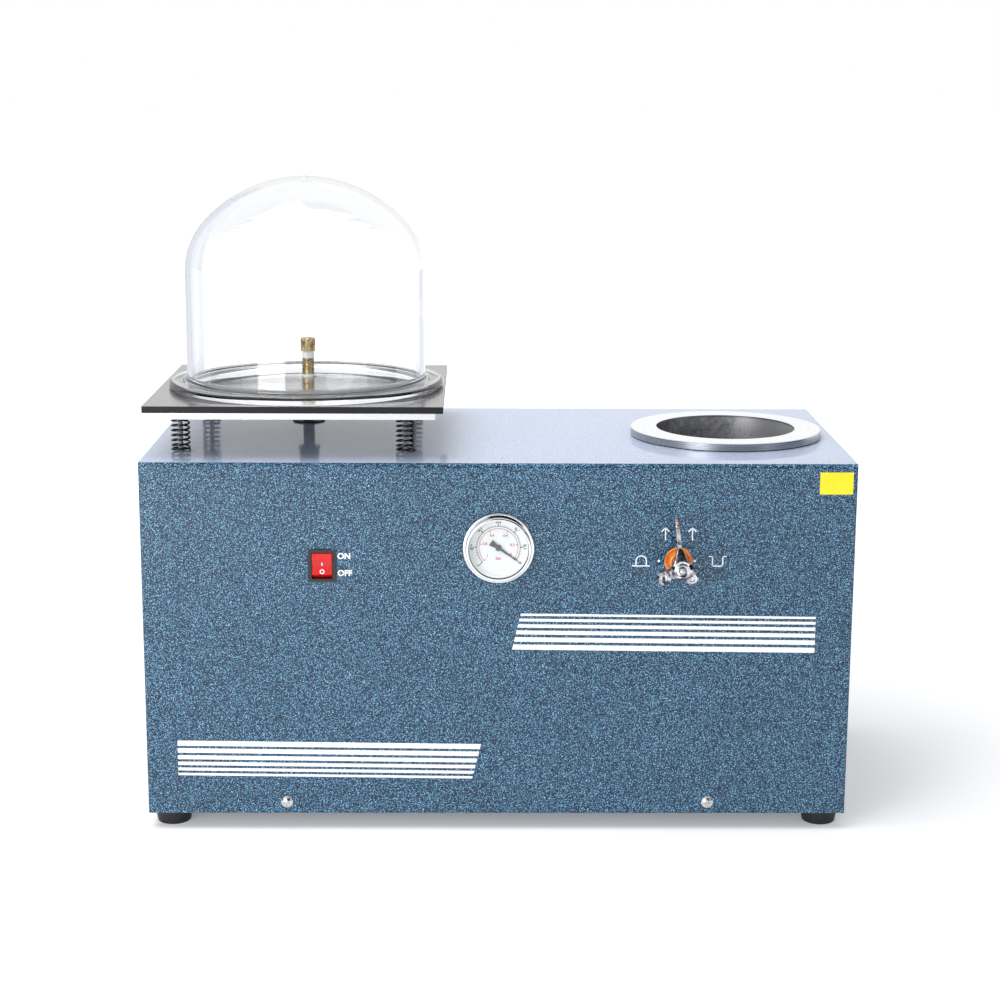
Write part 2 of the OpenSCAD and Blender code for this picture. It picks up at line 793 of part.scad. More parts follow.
// A straight coupler between the short hose that moves with the table and the long one
coupler_collar = 3;
module hose_coupler() placed() color([0.70, 0.56, 0.28]) {
    translate([pipe_x, pipe_y, riser_low - fit_gap - coupler_collar])
        difference() {
            union() {
                cylinder(h = coupler_collar, d = hose_d, $fn = 48);
                translate([0, 0, -stub + 1])
                    cylinder(h = 2 * stub + coupler_collar - 2, d = hose_bore_d - 2 * fit_gap, $fn = 32);
            }
            translate([0, 0, -stub])
                cylinder(h = 3 * stub, d = 4, $fn = 32);
        }
}

// A rubber bush in the top sheet: a wide flange above the sheet, a groove for the sheet's edge
module riser_grommet() placed() color([0.08, 0.08, 0.08]) {
    way_r = hose_d / 2 + fit_gap;
    hole_r = bush_hole_d / 2;
    lip = 1.6;
    translate([pipe_x, pipe_y, top_in])
        rotate_extrude($fn = 48)
            polygon([[way_r, -lip], [hole_r + lip, -lip], [hole_r + lip, 0],
                [hole_r - fit_gap, 0], [hole_r - fit_gap, sheet_t], [bush_d / 2, sheet_t],
                [bush_d / 2, sheet_t + lip - 0.6], [bush_d / 2 - 0.6, sheet_t + lip],
                [way_r, sheet_t + lip]]);
}

pipe_low = table_low - hose_nut_h + nut_disc_t + 1.3;
thread_in_cap = 4;

module standpipe() placed() color([0.72, 0.60, 0.36]) {
    translate([pipe_x, pipe_y, pipe_low])
        difference() {
            union() {
                cylinder(h = pipe_top + thread_in_cap - pipe_low, d = pipe_thread_d, $fn = 48);
                cylinder(h = pipe_top - tape_h - pipe_low, d = pipe_d, $fn = 48);
            }
            translate([0, 0, -1])
                cylinder(h = pipe_top + thread_in_cap - pipe_low + 2, d = pipe_bore_d, $fn = 32);
        }
}

// A piece of square bar with its corners turned round, an edge to the front
module standpipe_cap() placed() color([0.62, 0.50, 0.27]) {
    corner_d = cap_w * 1.3;
    chamfer = 0.8;
    translate([pipe_x, pipe_y, pipe_top])
        rotate(45)
            difference() {
                intersection() {
                    translate([-cap_w / 2, -cap_w / 2, 0])
                        cube([cap_w, cap_w, cap_h]);
                    union() {
                        cylinder(h = cap_h - chamfer, d = corner_d, $fn = 48);
                        translate([0, 0, cap_h - chamfer])
                            cylinder(h = chamfer, d1 = corner_d, d2 = corner_d - 2 * chamfer, $fn = 48);
                    }
                }
                translate([0, 0, -1])
                    cylinder(h = cap_h - 2, d = pipe_thread_d + 2 * run_gap, $fn = 48);
                translate([0, 0, cap_h - 4.5]) {
                    along_y(cap_hole_d, -cap_w, cap_w, 32);
                    along_x(cap_hole_d, -cap_w, cap_w, 32);
                }
            }
}

// White sealing tape on the thread, and a ring of it round the pipe's foot
module pipe_tape() placed() color("white") {
    foot_tape_h = 2.2;
    translate([pipe_x, pipe_y, pipe_top - tape_h])
        difference() {
            cylinder(h = tape_h - fit_gap / 3, d = pipe_d - 0.3, $fn = 48);
            translate([0, 0, -1])
                cylinder(h = tape_h + 2, d = pipe_thread_d + 2 * run_gap, $fn = 48);
        }
    translate([pipe_x, pipe_y, pad_top])
        difference() {
            cylinder(h = foot_tape_h, d = pipe_d + 1.6, $fn = 48);
            translate([0, 0, -1])
                cylinder(h = foot_tape_h + 2, d = pipe_d + 2 * run_gap, $fn = 48);
        }
}

// ---------- bell jar

// Half outline of the jar: a straight wall, a shoulder arc and a crown arc that run into each
// other, all set in by the same distance
dome_rise = jar_h - jar_wall_h;
module jar_outline(inset) {
    a = jar_d / 2 - shoulder_r;
    b = dome_rise - shoulder_r;
    drop = (a * a - b * b) / (2 * b);
    crown_r = dome_rise + drop;
    wedge = atan2(a, drop);
    intersection() {
        union() {
            square([jar_d / 2 - inset, jar_wall_h]);
            translate([a, jar_wall_h])
                circle(r = shoulder_r - inset, $fn = 128);
            intersection() {
                translate([0, jar_wall_h - drop])
                    circle(r = crown_r - inset, $fn = 256);
                translate([0, jar_wall_h - drop])
                    polygon([[0, 0], [0, 2 * crown_r],
                        [2 * crown_r * tan(wedge), 2 * crown_r]]);
            }
        }
        square([jar_d, jar_h + 1]);
    }
}

module bell_jar() placed() color([0.85, 0.93, 0.97, 0.35]) {
    rim_r = jar_flange_t / 2;
    translate([-table_x + jar_shift, table_y, pad_top])
        rotate_extrude($fn = 128)
            difference() {
                union() {
                    jar_outline(0);
                    square([jar_flange_d / 2 - rim_r, jar_flange_t]);
                    translate([jar_flange_d / 2 - rim_r, rim_r])
                        circle(r = rim_r, $fn = 32);
                    // fillet between the flange and the wall
                    difference() {
                        translate([0, jar_flange_t - 1])
                            square([jar_d / 2 + 6, 7]);
                        translate([jar_d / 2 + 6, jar_flange_t + 6])
                            circle(r = 6, $fn = 48);
                    }
                }
                translate([0, -0.01])
                    jar_outline(glass_t);
            }
}

// ---------- casting chamber

ring_top = cab_h + gasket_t + ring_t;
cup_floor_t = 8;
outlet_d = 12;
elbow_drop = 26;

module chamber_bolt_circle() {
    for (a = [45 : 90 : 315])
        rotate(a)
            translate([chamber_bolt_r, 0, 0])
                children();
}

// One casting: a machined ring on top, a short bored land, then a cup with draft and round corners
module casting_chamber() placed() color([0.72, 0.72, 0.73]) {
    r = chamber_bore_d / 2;
    draft = 4;
    floor_r = 22;
    low = -cup_depth;
    translate([chamber_x, chamber_y, ring_top])
        difference() {
            rotate_extrude($fn = 128)
                difference() {
                    union() {
                        polygon([[0, -ring_t], [ring_d / 2, -ring_t], [ring_d / 2, -0.6],
                            [ring_d / 2 - 0.6, 0], [0, 0]]);
                        polygon([[0, low - cup_floor_t], [r - draft - 8, low - cup_floor_t],
                            [r - draft + cup_wall, low + 12], [cup_d / 2, -bore_land],
                            [cup_d / 2, -ring_t], [0, -ring_t]]);
                    }
                    polygon([[-1, low], [r - draft - floor_r, low], [r - draft - 6, low + 6],
                        [r - draft, low + floor_r], [r - 1, -bore_land], [r, -bore_land],
                        [r, 1], [-1, 1]]);
                }
            translate([0, 0, low - cup_floor_t - 1])
                cylinder(h = cup_floor_t + 2, d = outlet_d + 2 * run_gap, $fn = 32);
            chamber_bolt_circle()
                translate([0, 0, -ring_t - 1])
                    cylinder(h = 5.6, d = 5 + 2 * run_gap, $fn = 32);
        }
}

module chamber_gasket() placed() color([0.25, 0.20, 0.16]) {
    translate([chamber_x, chamber_y, cab_h])
        difference() {
            cylinder(h = gasket_t, d = ring_d - 1, $fn = 128);
            translate([0, 0, -1])
                cylinder(h = gasket_t + 2, d = cup_d + 2 * slip_gap, $fn = 128);
            chamber_bolt_circle()
                translate([0, 0, -1])
                    cylinder(h = gasket_t + 2, d = 6, $fn = 32);
        }
}

// Bolts that pull the ring down onto the top sheet, from below
module chamber_bolts() placed() color("silver") {
    translate([chamber_x, chamber_y, top_in])
        chamber_bolt_circle() {
            translate([0, 0, -1])
                cylinder(h = 1, d = 12, $fn = 32);
            translate([0, 0, -5])
                cylinder(h = 4, d = 9, $fn = 6);
            cylinder(h = sheet_t + gasket_t + 4, d = 5, $fn = 32);
        }
}

// A brass elbow in the cup's floor, its barb pointing to the front
elbow_z = ring_top - cup_depth - cup_floor_t - elbow_drop;
module chamber_elbow() placed() color([0.72, 0.58, 0.30]) {
    translate([chamber_x, chamber_y, elbow_z]) {
        difference() {
            union() {
                cylinder(h = elbow_drop + cup_floor_t - 1, d = outlet_d, $fn = 32);
                translate([0, 0, elbow_drop - 8])
                    cylinder(h = 8 - run_gap, d = outlet_d * 1.7, $fn = 6);
                sphere(d = outlet_d * 1.25, $fn = 48);
                along_y(outlet_d, -elbow_reach, 0, 32);
                along_y(hose_bore_d - 2 * fit_gap, -elbow_reach - barb_l, 0, 32);
            }
            cylinder(h = 80, d = 4.5, $fn = 32);
            along_y(4, -80, 0, 32);
        }
    }
}
elbow_reach = 22;

// ---------- gauge

// Sizes of the bezel, as a radius and a distance out of the panel
lens_t = 2.2;
lens_front = bezel_h - 2;
case_wall = 1.5;
dial_back = 2;          // the dial's face lies this far behind the panel's
dial_rim_t = 1.2;
pointer_pin_d = 2.4;

module gauge_bezel() placed() color([0.85, 0.86, 0.88]) {
    r = bezel_d / 2;
    open_r = dial_d / 2 + 0.8;
    translate([0, 0, gauge_z])
        out_of_panel()
            rotate_extrude($fn = 128)
                difference() {
                    union() {
                        square([r - 1, 3]);
                        translate([0, 1])
                            square([r, 1]);
                        translate([r - 1, 1])
                            circle(r = 1, $fn = 32);
                        translate([r - 1, 2])
                            circle(r = 1, $fn = 32);
                        square([r - 2.6, bezel_h - 2]);
                        square([r - 4.6, bezel_h]);
                        translate([r - 4.6, bezel_h - 2])
                            circle(r = 2, $fn = 48);
                    }
                    translate([-1, -1])
                        square([gauge_case_d / 2 + fit_gap + 1, lens_front - lens_t + 1]);
                    translate([-1, -1])
                        square([open_r + 1.6 + 1, lens_front + 1]);
                    translate([-1, -1])
                        square([open_r + 1, bezel_h + 3]);
                }
}

// The black cup that holds the movement, with its bottom at the back
module gauge_case() placed() color([0.10, 0.10, 0.10]) {
    translate([0, 0, gauge_z])
        difference() {
            along_y(gauge_case_d, -lens_front + lens_t + 0.1, gauge_case_h, 96);
            along_y(gauge_case_d - 2 * case_wall, -bezel_h, gauge_case_h - 2, 96);
            along_y(9, 0, gauge_case_h + 1, 32);
        }
    // the movement's post, which carries the dial and the pointer's pin
    translate([0, 0, gauge_z])
        difference() {
            along_y(16, dial_back + 1, gauge_case_h - 2, 48);
            along_y(pointer_pin_d + 2 * run_gap, dial_back, dial_back + 5, 32);
            along_y(9, dial_back + 8, gauge_case_h + 1, 32);
        }
}

// A white dish: the dial is its floor, and its rim reaches the lens
module gauge_dial() placed() color("white") {
    dish_d = gauge_case_d - 2 * case_wall - 2 * fit_gap;
    translate([0, 0, gauge_z])
        difference() {
            along_y(dish_d, -lens_front + lens_t + 0.1, dial_back + 1, 96);
            along_y(dish_d - 2 * dial_rim_t, -bezel_h, dial_back, 96);
            along_y(pointer_pin_d + 2 * run_gap, 0, dial_back + 2, 32);
        }
}

module gauge_lens() placed() color([0.9, 0.95, 1, 0.3]) {
    translate([0, 0, gauge_z])
        along_y(dial_d + 4, -lens_front + 0.1, -lens_front + lens_t, 96);
}

pointer_t = 0.8;
module gauge_pointer() placed() color([0.06, 0.06, 0.06]) {
    translate([0, dial_back - 0.9, gauge_z])
        rotate([90, 0, 0])
            rotate(-pointer_rest) {
                linear_extrude(pointer_t)
                    polygon([[-pointer_tail, -3.2], [-pointer_tail, 3.2], [0, 1.3],
                        [pointer_r - 6, 0.6], [pointer_r - 3.5, 1], [pointer_r, 0],
                        [pointer_r - 3.5, -1], [pointer_r - 6, -0.6], [0, -1.3]]);
                cylinder(h = pointer_t + 1, d = 6, $fn = 32);
                translate([0, 0, -4])
                    cylinder(h = 4.5, d = pointer_pin_d, $fn = 32);
            }
}

module gauge_stem() placed() color([0.72, 0.58, 0.30]) {
    y0 = gauge_case_h - 2 + fit_gap;
    translate([0, 0, gauge_z])
        difference() {
            union() {
                along_y(16, gauge_case_h + 0.1, gauge_case_h + 4, 32);
                translate([-6.5, gauge_case_h + 4, -6.5])
                    cube([13, 10, 13]);
                along_y(8.6, y0, gauge_case_h + 5, 32);
                along_y(tube_bore_d - 0.4, gauge_case_h + 10, gauge_case_h + 24, 32);
            }
            along_y(1.6, 0, 80, 32);
        }
}

// ---------- power switch

// The rocker's pin, behind the panel's face
rocker_pin_y = 2;
rocker_pin_d = 3;
rocker_gap = 0.4;
rocker_low = 9;
switch_proud = 2;

module switch_housing() placed() color([0.05, 0.05, 0.05]) {
    translate([-switch_x, 0, switch_z]) {
        difference() {
            union() {
                rotate([90, 0, 0])
                    round_plate(switch_w, switch_h, switch_proud, 1.6);
                translate([-(switch_w - 4) / 2, 0, -(switch_h - 4) / 2])
                    cube([switch_w - 4, switch_depth, switch_h - 4]);
            }
            translate([-rocker_w / 2 - rocker_gap, -4, -rocker_h / 2 - rocker_gap])
                cube([rocker_w + 2 * rocker_gap, rocker_low + 7, rocker_h + 2 * rocker_gap]);
            translate([0, rocker_pin_y, 0])
                along_x(rocker_pin_d + 2 * run_gap, -rocker_w / 2 - 1.4, rocker_w / 2 + 1.4, 32);
        }
        // terminals at the back
        for (z = [-9, 0, 9])
            translate([-0.4, switch_depth - 1, z - 3.15])
                cube([0.8, 10, 6.3]);
    }
}

// Side outline of the rocker in its middle place (distance behind the pin, height above it): a
// shallow V in front, with bevelled ends rounded about the pin
module rocker_outline() {
    end_r = rocker_h / 2;
    bevel_z = end_r - 4.5;
    intersection() {
        circle(r = end_r, $fn = 96);
        polygon([[-rocker_pin_y - 0.8, 0], [-rocker_pin_y - 3.4, bevel_z],
            [-rocker_pin_y + 0.6, end_r], [3, end_r],
            [rocker_low - rocker_pin_y - 2, 6], [rocker_low - rocker_pin_y - 2, -6],
            [3, -end_r], [-rocker_pin_y + 0.6, -end_r], [-rocker_pin_y - 3.4, -bevel_z]]);
    }
}

module switch_rocker() placed() color([0.75, 0.05, 0.05]) {
    translate([-switch_x, rocker_pin_y, switch_z])
        rotate([rocker_swing / 2, 0, 0]) {
            rotate([90, 0, 90])
                linear_extrude(rocker_w, center = true)
                    rocker_outline();
            along_x(rocker_pin_d, -rocker_w / 2 - 1.2, rocker_w / 2 + 1.2, 32);
        }
}

// ---------- selector valve

valve_body_y = sheet_t + 6;
valve_body_l = 34;
port_in = 12;
port_reach = 26;
port_d = 15;
stem_in = 20;
seat_d = 14;

module valve_collar() placed() color([0.78, 0.36, 0.12]) {
    translate([valve_x, 0, valve_z])
        difference() {
            union() {
                out_of_panel()
                    rotate_extrude($fn = 96)
                        polygon([[0, 0], [collar_d / 2, 0], [collar_d / 2, 1.6],
                            [collar_d / 2 - 0.8, 2.4], [collar_d / 2 - 2.2, 2.4],
                            [collar_d / 2 - 2.2, 3.4], [collar_d / 2 - 4.5, collar_h - 1],
                            [collar_d / 2 - 6, collar_h], [0, collar_h]]);
                along_y(collar_thread_d, -1, valve_body_y - 0.1, 48);
            }
            along_y(stem_d + 2 * run_gap, -20, 20, 48);
        }
}

module valve_body() placed() color([0.70, 0.56, 0.28]) {
    translate([valve_x, valve_body_y, valve_z])
        difference() {
            union() {
                along_y(30, 0, valve_body_l, 64);
                along_y(24, valve_body_l, valve_body_l + 4, 6);
                along_y(tube_bore_d - 0.4, valve_body_l, valve_body_l + 4 + barb_l, 32);
                translate([0, port_in, 0])
                    for (a = [0, 90, 180])
                        rotate([0, a, 0]) {
                            along_x(port_d, 0, port_reach, 48);
                            along_x(hose_bore_d - 2 * fit_gap, 0, port_reach + barb_l, 32);
                        }
            }
            along_y(seat_d + 2 * fit_gap, -1, stem_in + 1, 48);
            along_y(1.6, 0, 80, 32);
            translate([0, port_in, 0])
                for (a = [0, 90, 180])
                    rotate([0, a, 0])
                        along_x(4, 0, 60, 32);
        }
}

// The stem with its round plug; it turns with the handle
module valve_stem() placed() color([0.70, 0.58, 0.32]) {
    translate([valve_x, 0, valve_z])
        difference() {
            union() {
                along_y(stem_d, -handle_reach + hub_l - 6, valve_body_y + 2, 48);
                along_y(seat_d, valve_body_y + fit_gap, valve_body_y + stem_in, 48);
            }
            along_y(3 + 2 * run_gap, -handle_reach, -handle_reach + hub_l + 8, 32);
            // drilled way through the plug, from the lower port to the right-hand one
            translate([0, valve_body_y + port_in, 0])
                for (a = [0, 90])
                    rotate([0, a, 0])
                        along_x(4, 0, seat_d, 32);
        }
}

// Chrome handle: a bell-shaped hub, a long arm with a knob and a tip, and two short arms with lugs
arm_lean = 7;
short_arm_r = [18.9, 12.2];
short_arm_a = [203, 320];
lug_l = 15;
knob_d = 5.8;
tip_l = 9.4;
hub_seat_d = 10.8;

module arm(r, angle, d0, d1, y0, y1) {
    hull() {
        along_y(d0, y0, y1, 32);
        translate([r * cos(angle), 0, r * sin(angle)])
            along_y(d1, y0 + 2, y1 - 2, 32);
    }
}

module valve_handle() placed() color([0.86, 0.87, 0.89]) {
    y1 = -handle_reach + hub_l;
    up = 90 + arm_lean;
    translate([valve_x, 0, valve_z])
        difference() {
            union() {
                out_of_panel()
                    translate([0, 0, -y1])
                        rotate_extrude($fn = 64)
                            polygon([[0, 0], [hub_d / 2 - 3, 0], [hub_d / 2, 4],
                                [hub_d / 2, hub_l - 4], [hub_d / 2 - 3, hub_l - 0.8],
                                [hub_d / 2 - 4.5, hub_l], [0, hub_l]]);
                // root of the long arm, drawn in towards the arm
                arm(19, up, hub_d - 3, 5, -handle_reach + 2.5, y1 - 2.5);
                arm(long_arm - tip_l, up, 4.6, 3.6, -handle_reach + 4.2, y1 - 4.2);
                translate([0, -handle_reach + hub_l / 2, 0])
                    rotate([0, -arm_lean, 0])
                        translate([0, 0, long_arm - tip_l]) {
                            sphere(d = knob_d, $fn = 32);
                            cylinder(h = tip_l - 1.5, d1 = 4.2, d2 = 4.6, $fn = 32);
                            translate([0, 0, tip_l - 1.5])
                                cylinder(h = 1.5, d1 = 4.6, d2 = 2.6, $fn = 32);
                        }
                for (i = [0, 1]) {
                    a = short_arm_a[i];
                    r = short_arm_r[i];
                    shift = i * 5;
                    arm(r, a, 9, 8, -handle_reach + 4 + shift, y1 - 1);
                    translate([r * cos(a), shift, r * sin(a)])
                        out_of_panel()
                            translate([0, 0, handle_reach - lug_l])
                                difference() {
                                    rotate_extrude($fn = 48)
                                        polygon([[0, 0], [lug_d / 2 - 2, 0], [lug_d / 2, 3],
                                            [lug_d / 2, lug_l - 1.5], [lug_d / 2 - 1.5, lug_l],
                                            [0, lug_l]]);
                                    translate([0, 0, lug_l - 1.5])
                                        difference() {
                                            cylinder(h = 3, d = lug_d * 0.58, $fn = 32);
                                            translate([0, 0, -1])
                                                cylinder(h = 5, d = lug_d * 0.27, $fn = 32);
                                        }
                                }
                }
            }
            // seat for the stem, hole and counterbore for the screw
            along_y(stem_d + 2 * run_gap, y1 - 6, 0, 48);
            along_y(4.4, -60, 0, 32);
            translate([0, -handle_reach, 0])
                along_y(hub_seat_d, -20, 2, 48);
        }
}

module handle_screw() placed() color([0.55, 0.56, 0.58]) {
    head_d = 7;
    translate([valve_x, -handle_reach + 2, valve_z])
        difference() {
            union() {
                out_of_panel()
                    dome_cap(head_d, 3.6);
                along_y(3, 0, hub_l + 4, 32);
            }
            for (a = [45, 135])
                rotate([0, a, 0])
                    translate([-head_d * 0.28, -10, -0.5])
                        cube([head_d * 0.56, 8, 1]);
        }
}

// ---------- hoses

tube_d = 6;
tube_bore_d = 3.6;
hose_sides = 12;
hose_steps = 12;
stub = barb_l + 2;

// How far each hose runs on before it bends
table_pull = 90;
chamber_pull = 52;
pump_pull = 60;
gauge_pull = 60;

// Ends of the hoses: where each meets a shoulder, and the way that it leaves it
valve_mid = [valve_x, valve_body_y + port_in, valve_z];
port_left = valve_mid + [-port_reach - fit_gap, 0, 0];
port_right = valve_mid + [port_reach + fit_gap, 0, 0];
port_low = valve_mid + [0, 0, -port_reach - fit_gap];
elbow_end = [chamber_x, chamber_y - elbow_reach - fit_gap, elbow_z];
riser_end = [pipe_x, pipe_y, riser_low - 2 * fit_gap - coupler_collar];
pump_port_x = -pump_x + oil_case_l * 0.72;
pump_port_y = pump_y - oil_case_w * 0.28;
pump_port_z = pump_z + oil_case_h * 0.5 + 12;
pump_end = [pump_port_x, pump_port_y, pump_port_z + fit_gap];

module table_hose() placed() color([0.06, 0.06, 0.06]) {
    hollow_tube(bend(riser_end, [0, 0, -1], port_left, [-1, 0, 0], table_pull, hose_steps, stub),
        hose_d, hose_bore_d, hose_sides, [0, 1, 0.001]);
}

module chamber_hose() placed() color([0.06, 0.06, 0.06]) {
    hollow_tube(bend(port_right, [1, 0, 0], elbow_end, [0, -1, 0], chamber_pull, hose_steps, stub),
        hose_d, hose_bore_d, hose_sides, [0.3, 0.55, 1]);
}

module pump_hose() placed() color([0.06, 0.06, 0.06]) {
    hollow_tube(bend(port_low, [0, 0, -1], pump_end, [0, 0, 1], pump_pull, hose_steps + 6, stub),
        hose_d, hose_bore_d, hose_sides, [0, 1, 0]);
}

// A thin tube from the gauge's stem to the tee on the valve's back
gauge_end = [0, gauge_case_h + 14 + fit_gap, gauge_z];
tee_end = [valve_x, valve_body_y + valve_body_l + 4 + fit_gap, valve_z];
module gauge_tube() placed() color([0.75, 0.80, 0.82]) {
    hollow_tube(bend(gauge_end, [0, 1, 0], tee_end, [0, 1, 0], gauge_pull, hose_steps, stub),
        tube_d, tube_bore_d, hose_sides, [0, 0, 1]);
}

// ---------- vacuum pump

cradle_t = 3;
cradle_bolt_d = 6;
cradle_w = oil_case_w - 8;
saddle_w = motor_d * 0.62;
channel_w = oil_case_w * 0.7;
motor_x = -pump_x + oil_case_l;
cowl_x = motor_x + motor_l;
case_low = pump_z - oil_case_h / 2 + 8;
fin_h = 4;

module at_cradle_bolts() {
    for (x = [motor_x + 16, motor_x + motor_l - 16], s = [-1, 1])
        translate([x, pump_y + s * (cradle_w / 2 - 12), 0])
            children();
    for (s = [-1, 1])
        translate([-pump_x + 14, pump_y + s * (cradle_w / 2 - 12), 0])
            children();
}

// Bent steel cradle: a tray on the pan, two saddles under the motor
module pump_cradle() placed() color([0.20, 0.21, 0.22]) {
    difference() {
        union() {
            translate([-pump_x, pump_y - cradle_w / 2, pan_t])
                cube([oil_case_l + motor_l, cradle_w, cradle_t]);
            for (x = [motor_x + 30, motor_x + motor_l - 34])
                translate([x, pump_y - saddle_w / 2, pan_t])
                    cube([cradle_t + 2, saddle_w, pump_z - pan_t]);
            // channel under the oil case
            for (x = [-pump_x + 30, -pump_x + oil_case_l - 23])
                translate([x, pump_y - channel_w / 2, pan_t])
                    cube([cradle_t, channel_w, case_low - pan_t - fit_gap / 3]);
            translate([-pump_x + 30, pump_y - channel_w / 2, case_low - cradle_t - fit_gap / 3])
                cube([oil_case_l - 50, channel_w, cradle_t]);
        }
        translate([0, pump_y, pump_z])
            along_x(motor_d + 2 * fin_h + 2 * run_gap, motor_x - 1, cowl_x + 1, 96);
        at_cradle_bolts()
            cylinder(h = 20, d = cradle_bolt_d + 2 * fit_gap, $fn = 32);
    }
}

module pump_bolts() placed() color("silver") {
    at_cradle_bolts() {
        translate([0, 0, -1.9])
            cylinder(h = 1.8, d = cradle_bolt_d * 1.7, $fn = 32);
        translate([0, 0, -1])
            cylinder(h = pan_t + cradle_t + 8, d = cradle_bolt_d, $fn = 32);
        translate([0, 0, pan_t + cradle_t])
            cylinder(h = 4.5, d = cradle_bolt_d * 1.9, $fn = 6);
    }
}

// The finned oil case, with the intake boss on top
module oil_case() placed() color([0.55, 0.56, 0.57]) {
    translate([-pump_x, pump_y, 0])
        difference() {
            union() {
                translate([0, 0, pump_z + 8])
                    rotate([0, 90, 0])
                        round_plate(oil_case_h, oil_case_w, oil_case_l - 10, 14);
                translate([oil_case_l - 10, 0, pump_z])
                    along_x(motor_d - 6, 0, 10 - fit_gap, 64);
                for (i = [1 : 6])
                    translate([oil_case_l * 0.12, -oil_case_w / 2 - 3,
                        case_low + i * oil_case_h / 7 - 1])
                        cube([oil_case_l * 0.66, oil_case_w + 6, 2]);
                translate([pump_x + pump_port_x, pump_port_y - pump_y, pump_z + oil_case_h / 2])
                    cylinder(h = 12, d = 20, $fn = 32);
                translate([pump_x + pump_port_x, pump_port_y - pump_y, pump_z + oil_case_h / 2])
                    cylinder(h = 12 + barb_l, d = hose_bore_d - 2 * fit_gap, $fn = 32);
            }
            // shaft seal's bore, sight glass seat, filler and drain threads, intake and exhaust
            translate([0, 0, pump_z])
                along_x(shaft_d + 2 * run_gap, oil_case_l - 26, oil_case_l + 5, 48);
            translate([oil_case_l / 2 - 4, 0, case_low + 42])
                along_y(sight_d + 2 * run_gap, -oil_case_w / 2 - 5, -oil_case_w / 2 + 5, 48);
            translate([pump_x + pump_port_x, pump_port_y - pump_y, pump_z + oil_case_h / 2 - 10])
                cylinder(h = 60, d = 4, $fn = 32);
            translate([filter_dx, filter_dy, pump_z + 8 + oil_case_h / 2 - 12])
                cylinder(h = 30, d = 18 + 2 * run_gap, $fn = 48);
            translate([oil_case_l / 2 - 30, 0, case_low + drain_h])
                along_y(12 + 2 * run_gap, -oil_case_w / 2 - 5, -oil_case_w / 2 + 8, 32);
            translate([filter_dx, -oil_case_w * 0.3, pump_z + 8 + oil_case_h / 2 - 8])
                cylinder(h = 30, d = 12 + 2 * run_gap, $fn = 32);
        }
}
sight_d = 26;
drain_h = 11;
filter_dx = oil_case_l * 0.27;
filter_dy = oil_case_w * 0.18;

module oil_plugs() placed() color([0.12, 0.12, 0.13]) {
    // filler cap on top
    translate([-pump_x + filter_dx, pump_y - oil_case_w * 0.3, pump_z + 8 + oil_case_h / 2]) {
        translate([0, 0, 0.1])
            cylinder(h = 9, d = 20, $fn = 48);
        translate([0, 0, -6])
            cylinder(h = 8, d = 12, $fn = 32);
    }
    // drain plug in front
    translate([-pump_x + oil_case_l / 2 - 30, pump_y - oil_case_w / 2, case_low + drain_h]) {
        along_y(19, -7, -0.1, 6);
        along_y(12, -2, 6, 32);
    }
}

module sight_glass() placed() color([0.9, 0.85, 0.6, 0.5]) {
    translate([-pump_x + oil_case_l / 2 - 4, pump_y - oil_case_w / 2, case_low + 42])
        along_y(sight_d, -4, 4.6, 48);
}

module exhaust_filter() placed() color([0.09, 0.09, 0.10]) {
    translate([-pump_x + filter_dx, pump_y + filter_dy, pump_z + 8 + oil_case_h / 2]) {
        translate([0, 0, -10])
            cylinder(h = 24, d = 18, $fn = 48);
        translate([0, 0, 6])
            rotate_extrude($fn = 64)
                polygon([[0, 0], [20, 0], [25, 5], [25, 46], [20, 52], [8, 52], [8, 58], [0, 58]]);
    }
}

module pump_motor() placed() color([0.25, 0.34, 0.42]) {
    translate([0, pump_y, pump_z])
        difference() {
            union() {
                along_x(motor_d, motor_x, cowl_x, 96);
                translate([motor_x + 12, 0, 0])
                    rotate([90, 0, 90])
                        linear_extrude(motor_l - 24)
                            for (i = [0 : 19])
                                rotate(i * 18)
                                    translate([motor_d / 2 - 1, -1.2])
                                        square([fin_h + 1, 2.4]);
            }
            along_x(rotor_d + 2, motor_x + 14, cowl_x - 10, 64);
            along_x(shaft_d + 2 * run_gap, motor_x - 1, cowl_x + 1, 48);
        }
}
rotor_d = 70;

// Laminated rotor on its shaft, from the pump's seal to the fan
module motor_rotor() placed() color([0.62, 0.63, 0.65]) {
    translate([0, pump_y, pump_z]) {
        along_x(shaft_d, motor_x - 20, cowl_x + cowl_l - 18, 48);
        along_x(rotor_d, motor_x + 24, cowl_x - 22, 64);
    }
}

fan_d = motor_d - 12;
fan_l = 18;
module cooling_fan() placed() color([0.12, 0.12, 0.13]) {
    translate([cowl_x + 8, pump_y, pump_z])
        difference() {
            union() {
                along_x(34, 0, fan_l, 48);
                intersection() {
                    for (i = [0 : fan_blades - 1])
                        rotate([i * 360 / fan_blades, 0, 0])
                            translate([0, 12, 0])
                                rotate([0, 32, 0])
                                    translate([0, 0, -1])
                                        cube([fan_l * 1.3, fan_d / 2, 2]);
                    along_x(fan_d, 1, fan_l - 1, 96);
                }
            }
            along_x(shaft_d + 2 * run_gap, -1, fan_l + 2, 48);
        }
}

// Cowl over the fan, with a ring of slots in its end
module fan_cowl() placed() color([0.14, 0.15, 0.16]) {
    cowl_d = motor_d + 4;
    translate([cowl_x, pump_y, pump_z])
        difference() {
            along_x(cowl_d, 0.1, cowl_l, 96);
            along_x(cowl_d - 4, -1, cowl_l - 2, 96);
            for (i = [0 : 15])
                rotate([i * 22.5, 0, 0])
                    translate([cowl_l - 4, 18, -3])
                        cube([6, cowl_d / 2 - 28, 6]);
        }
}

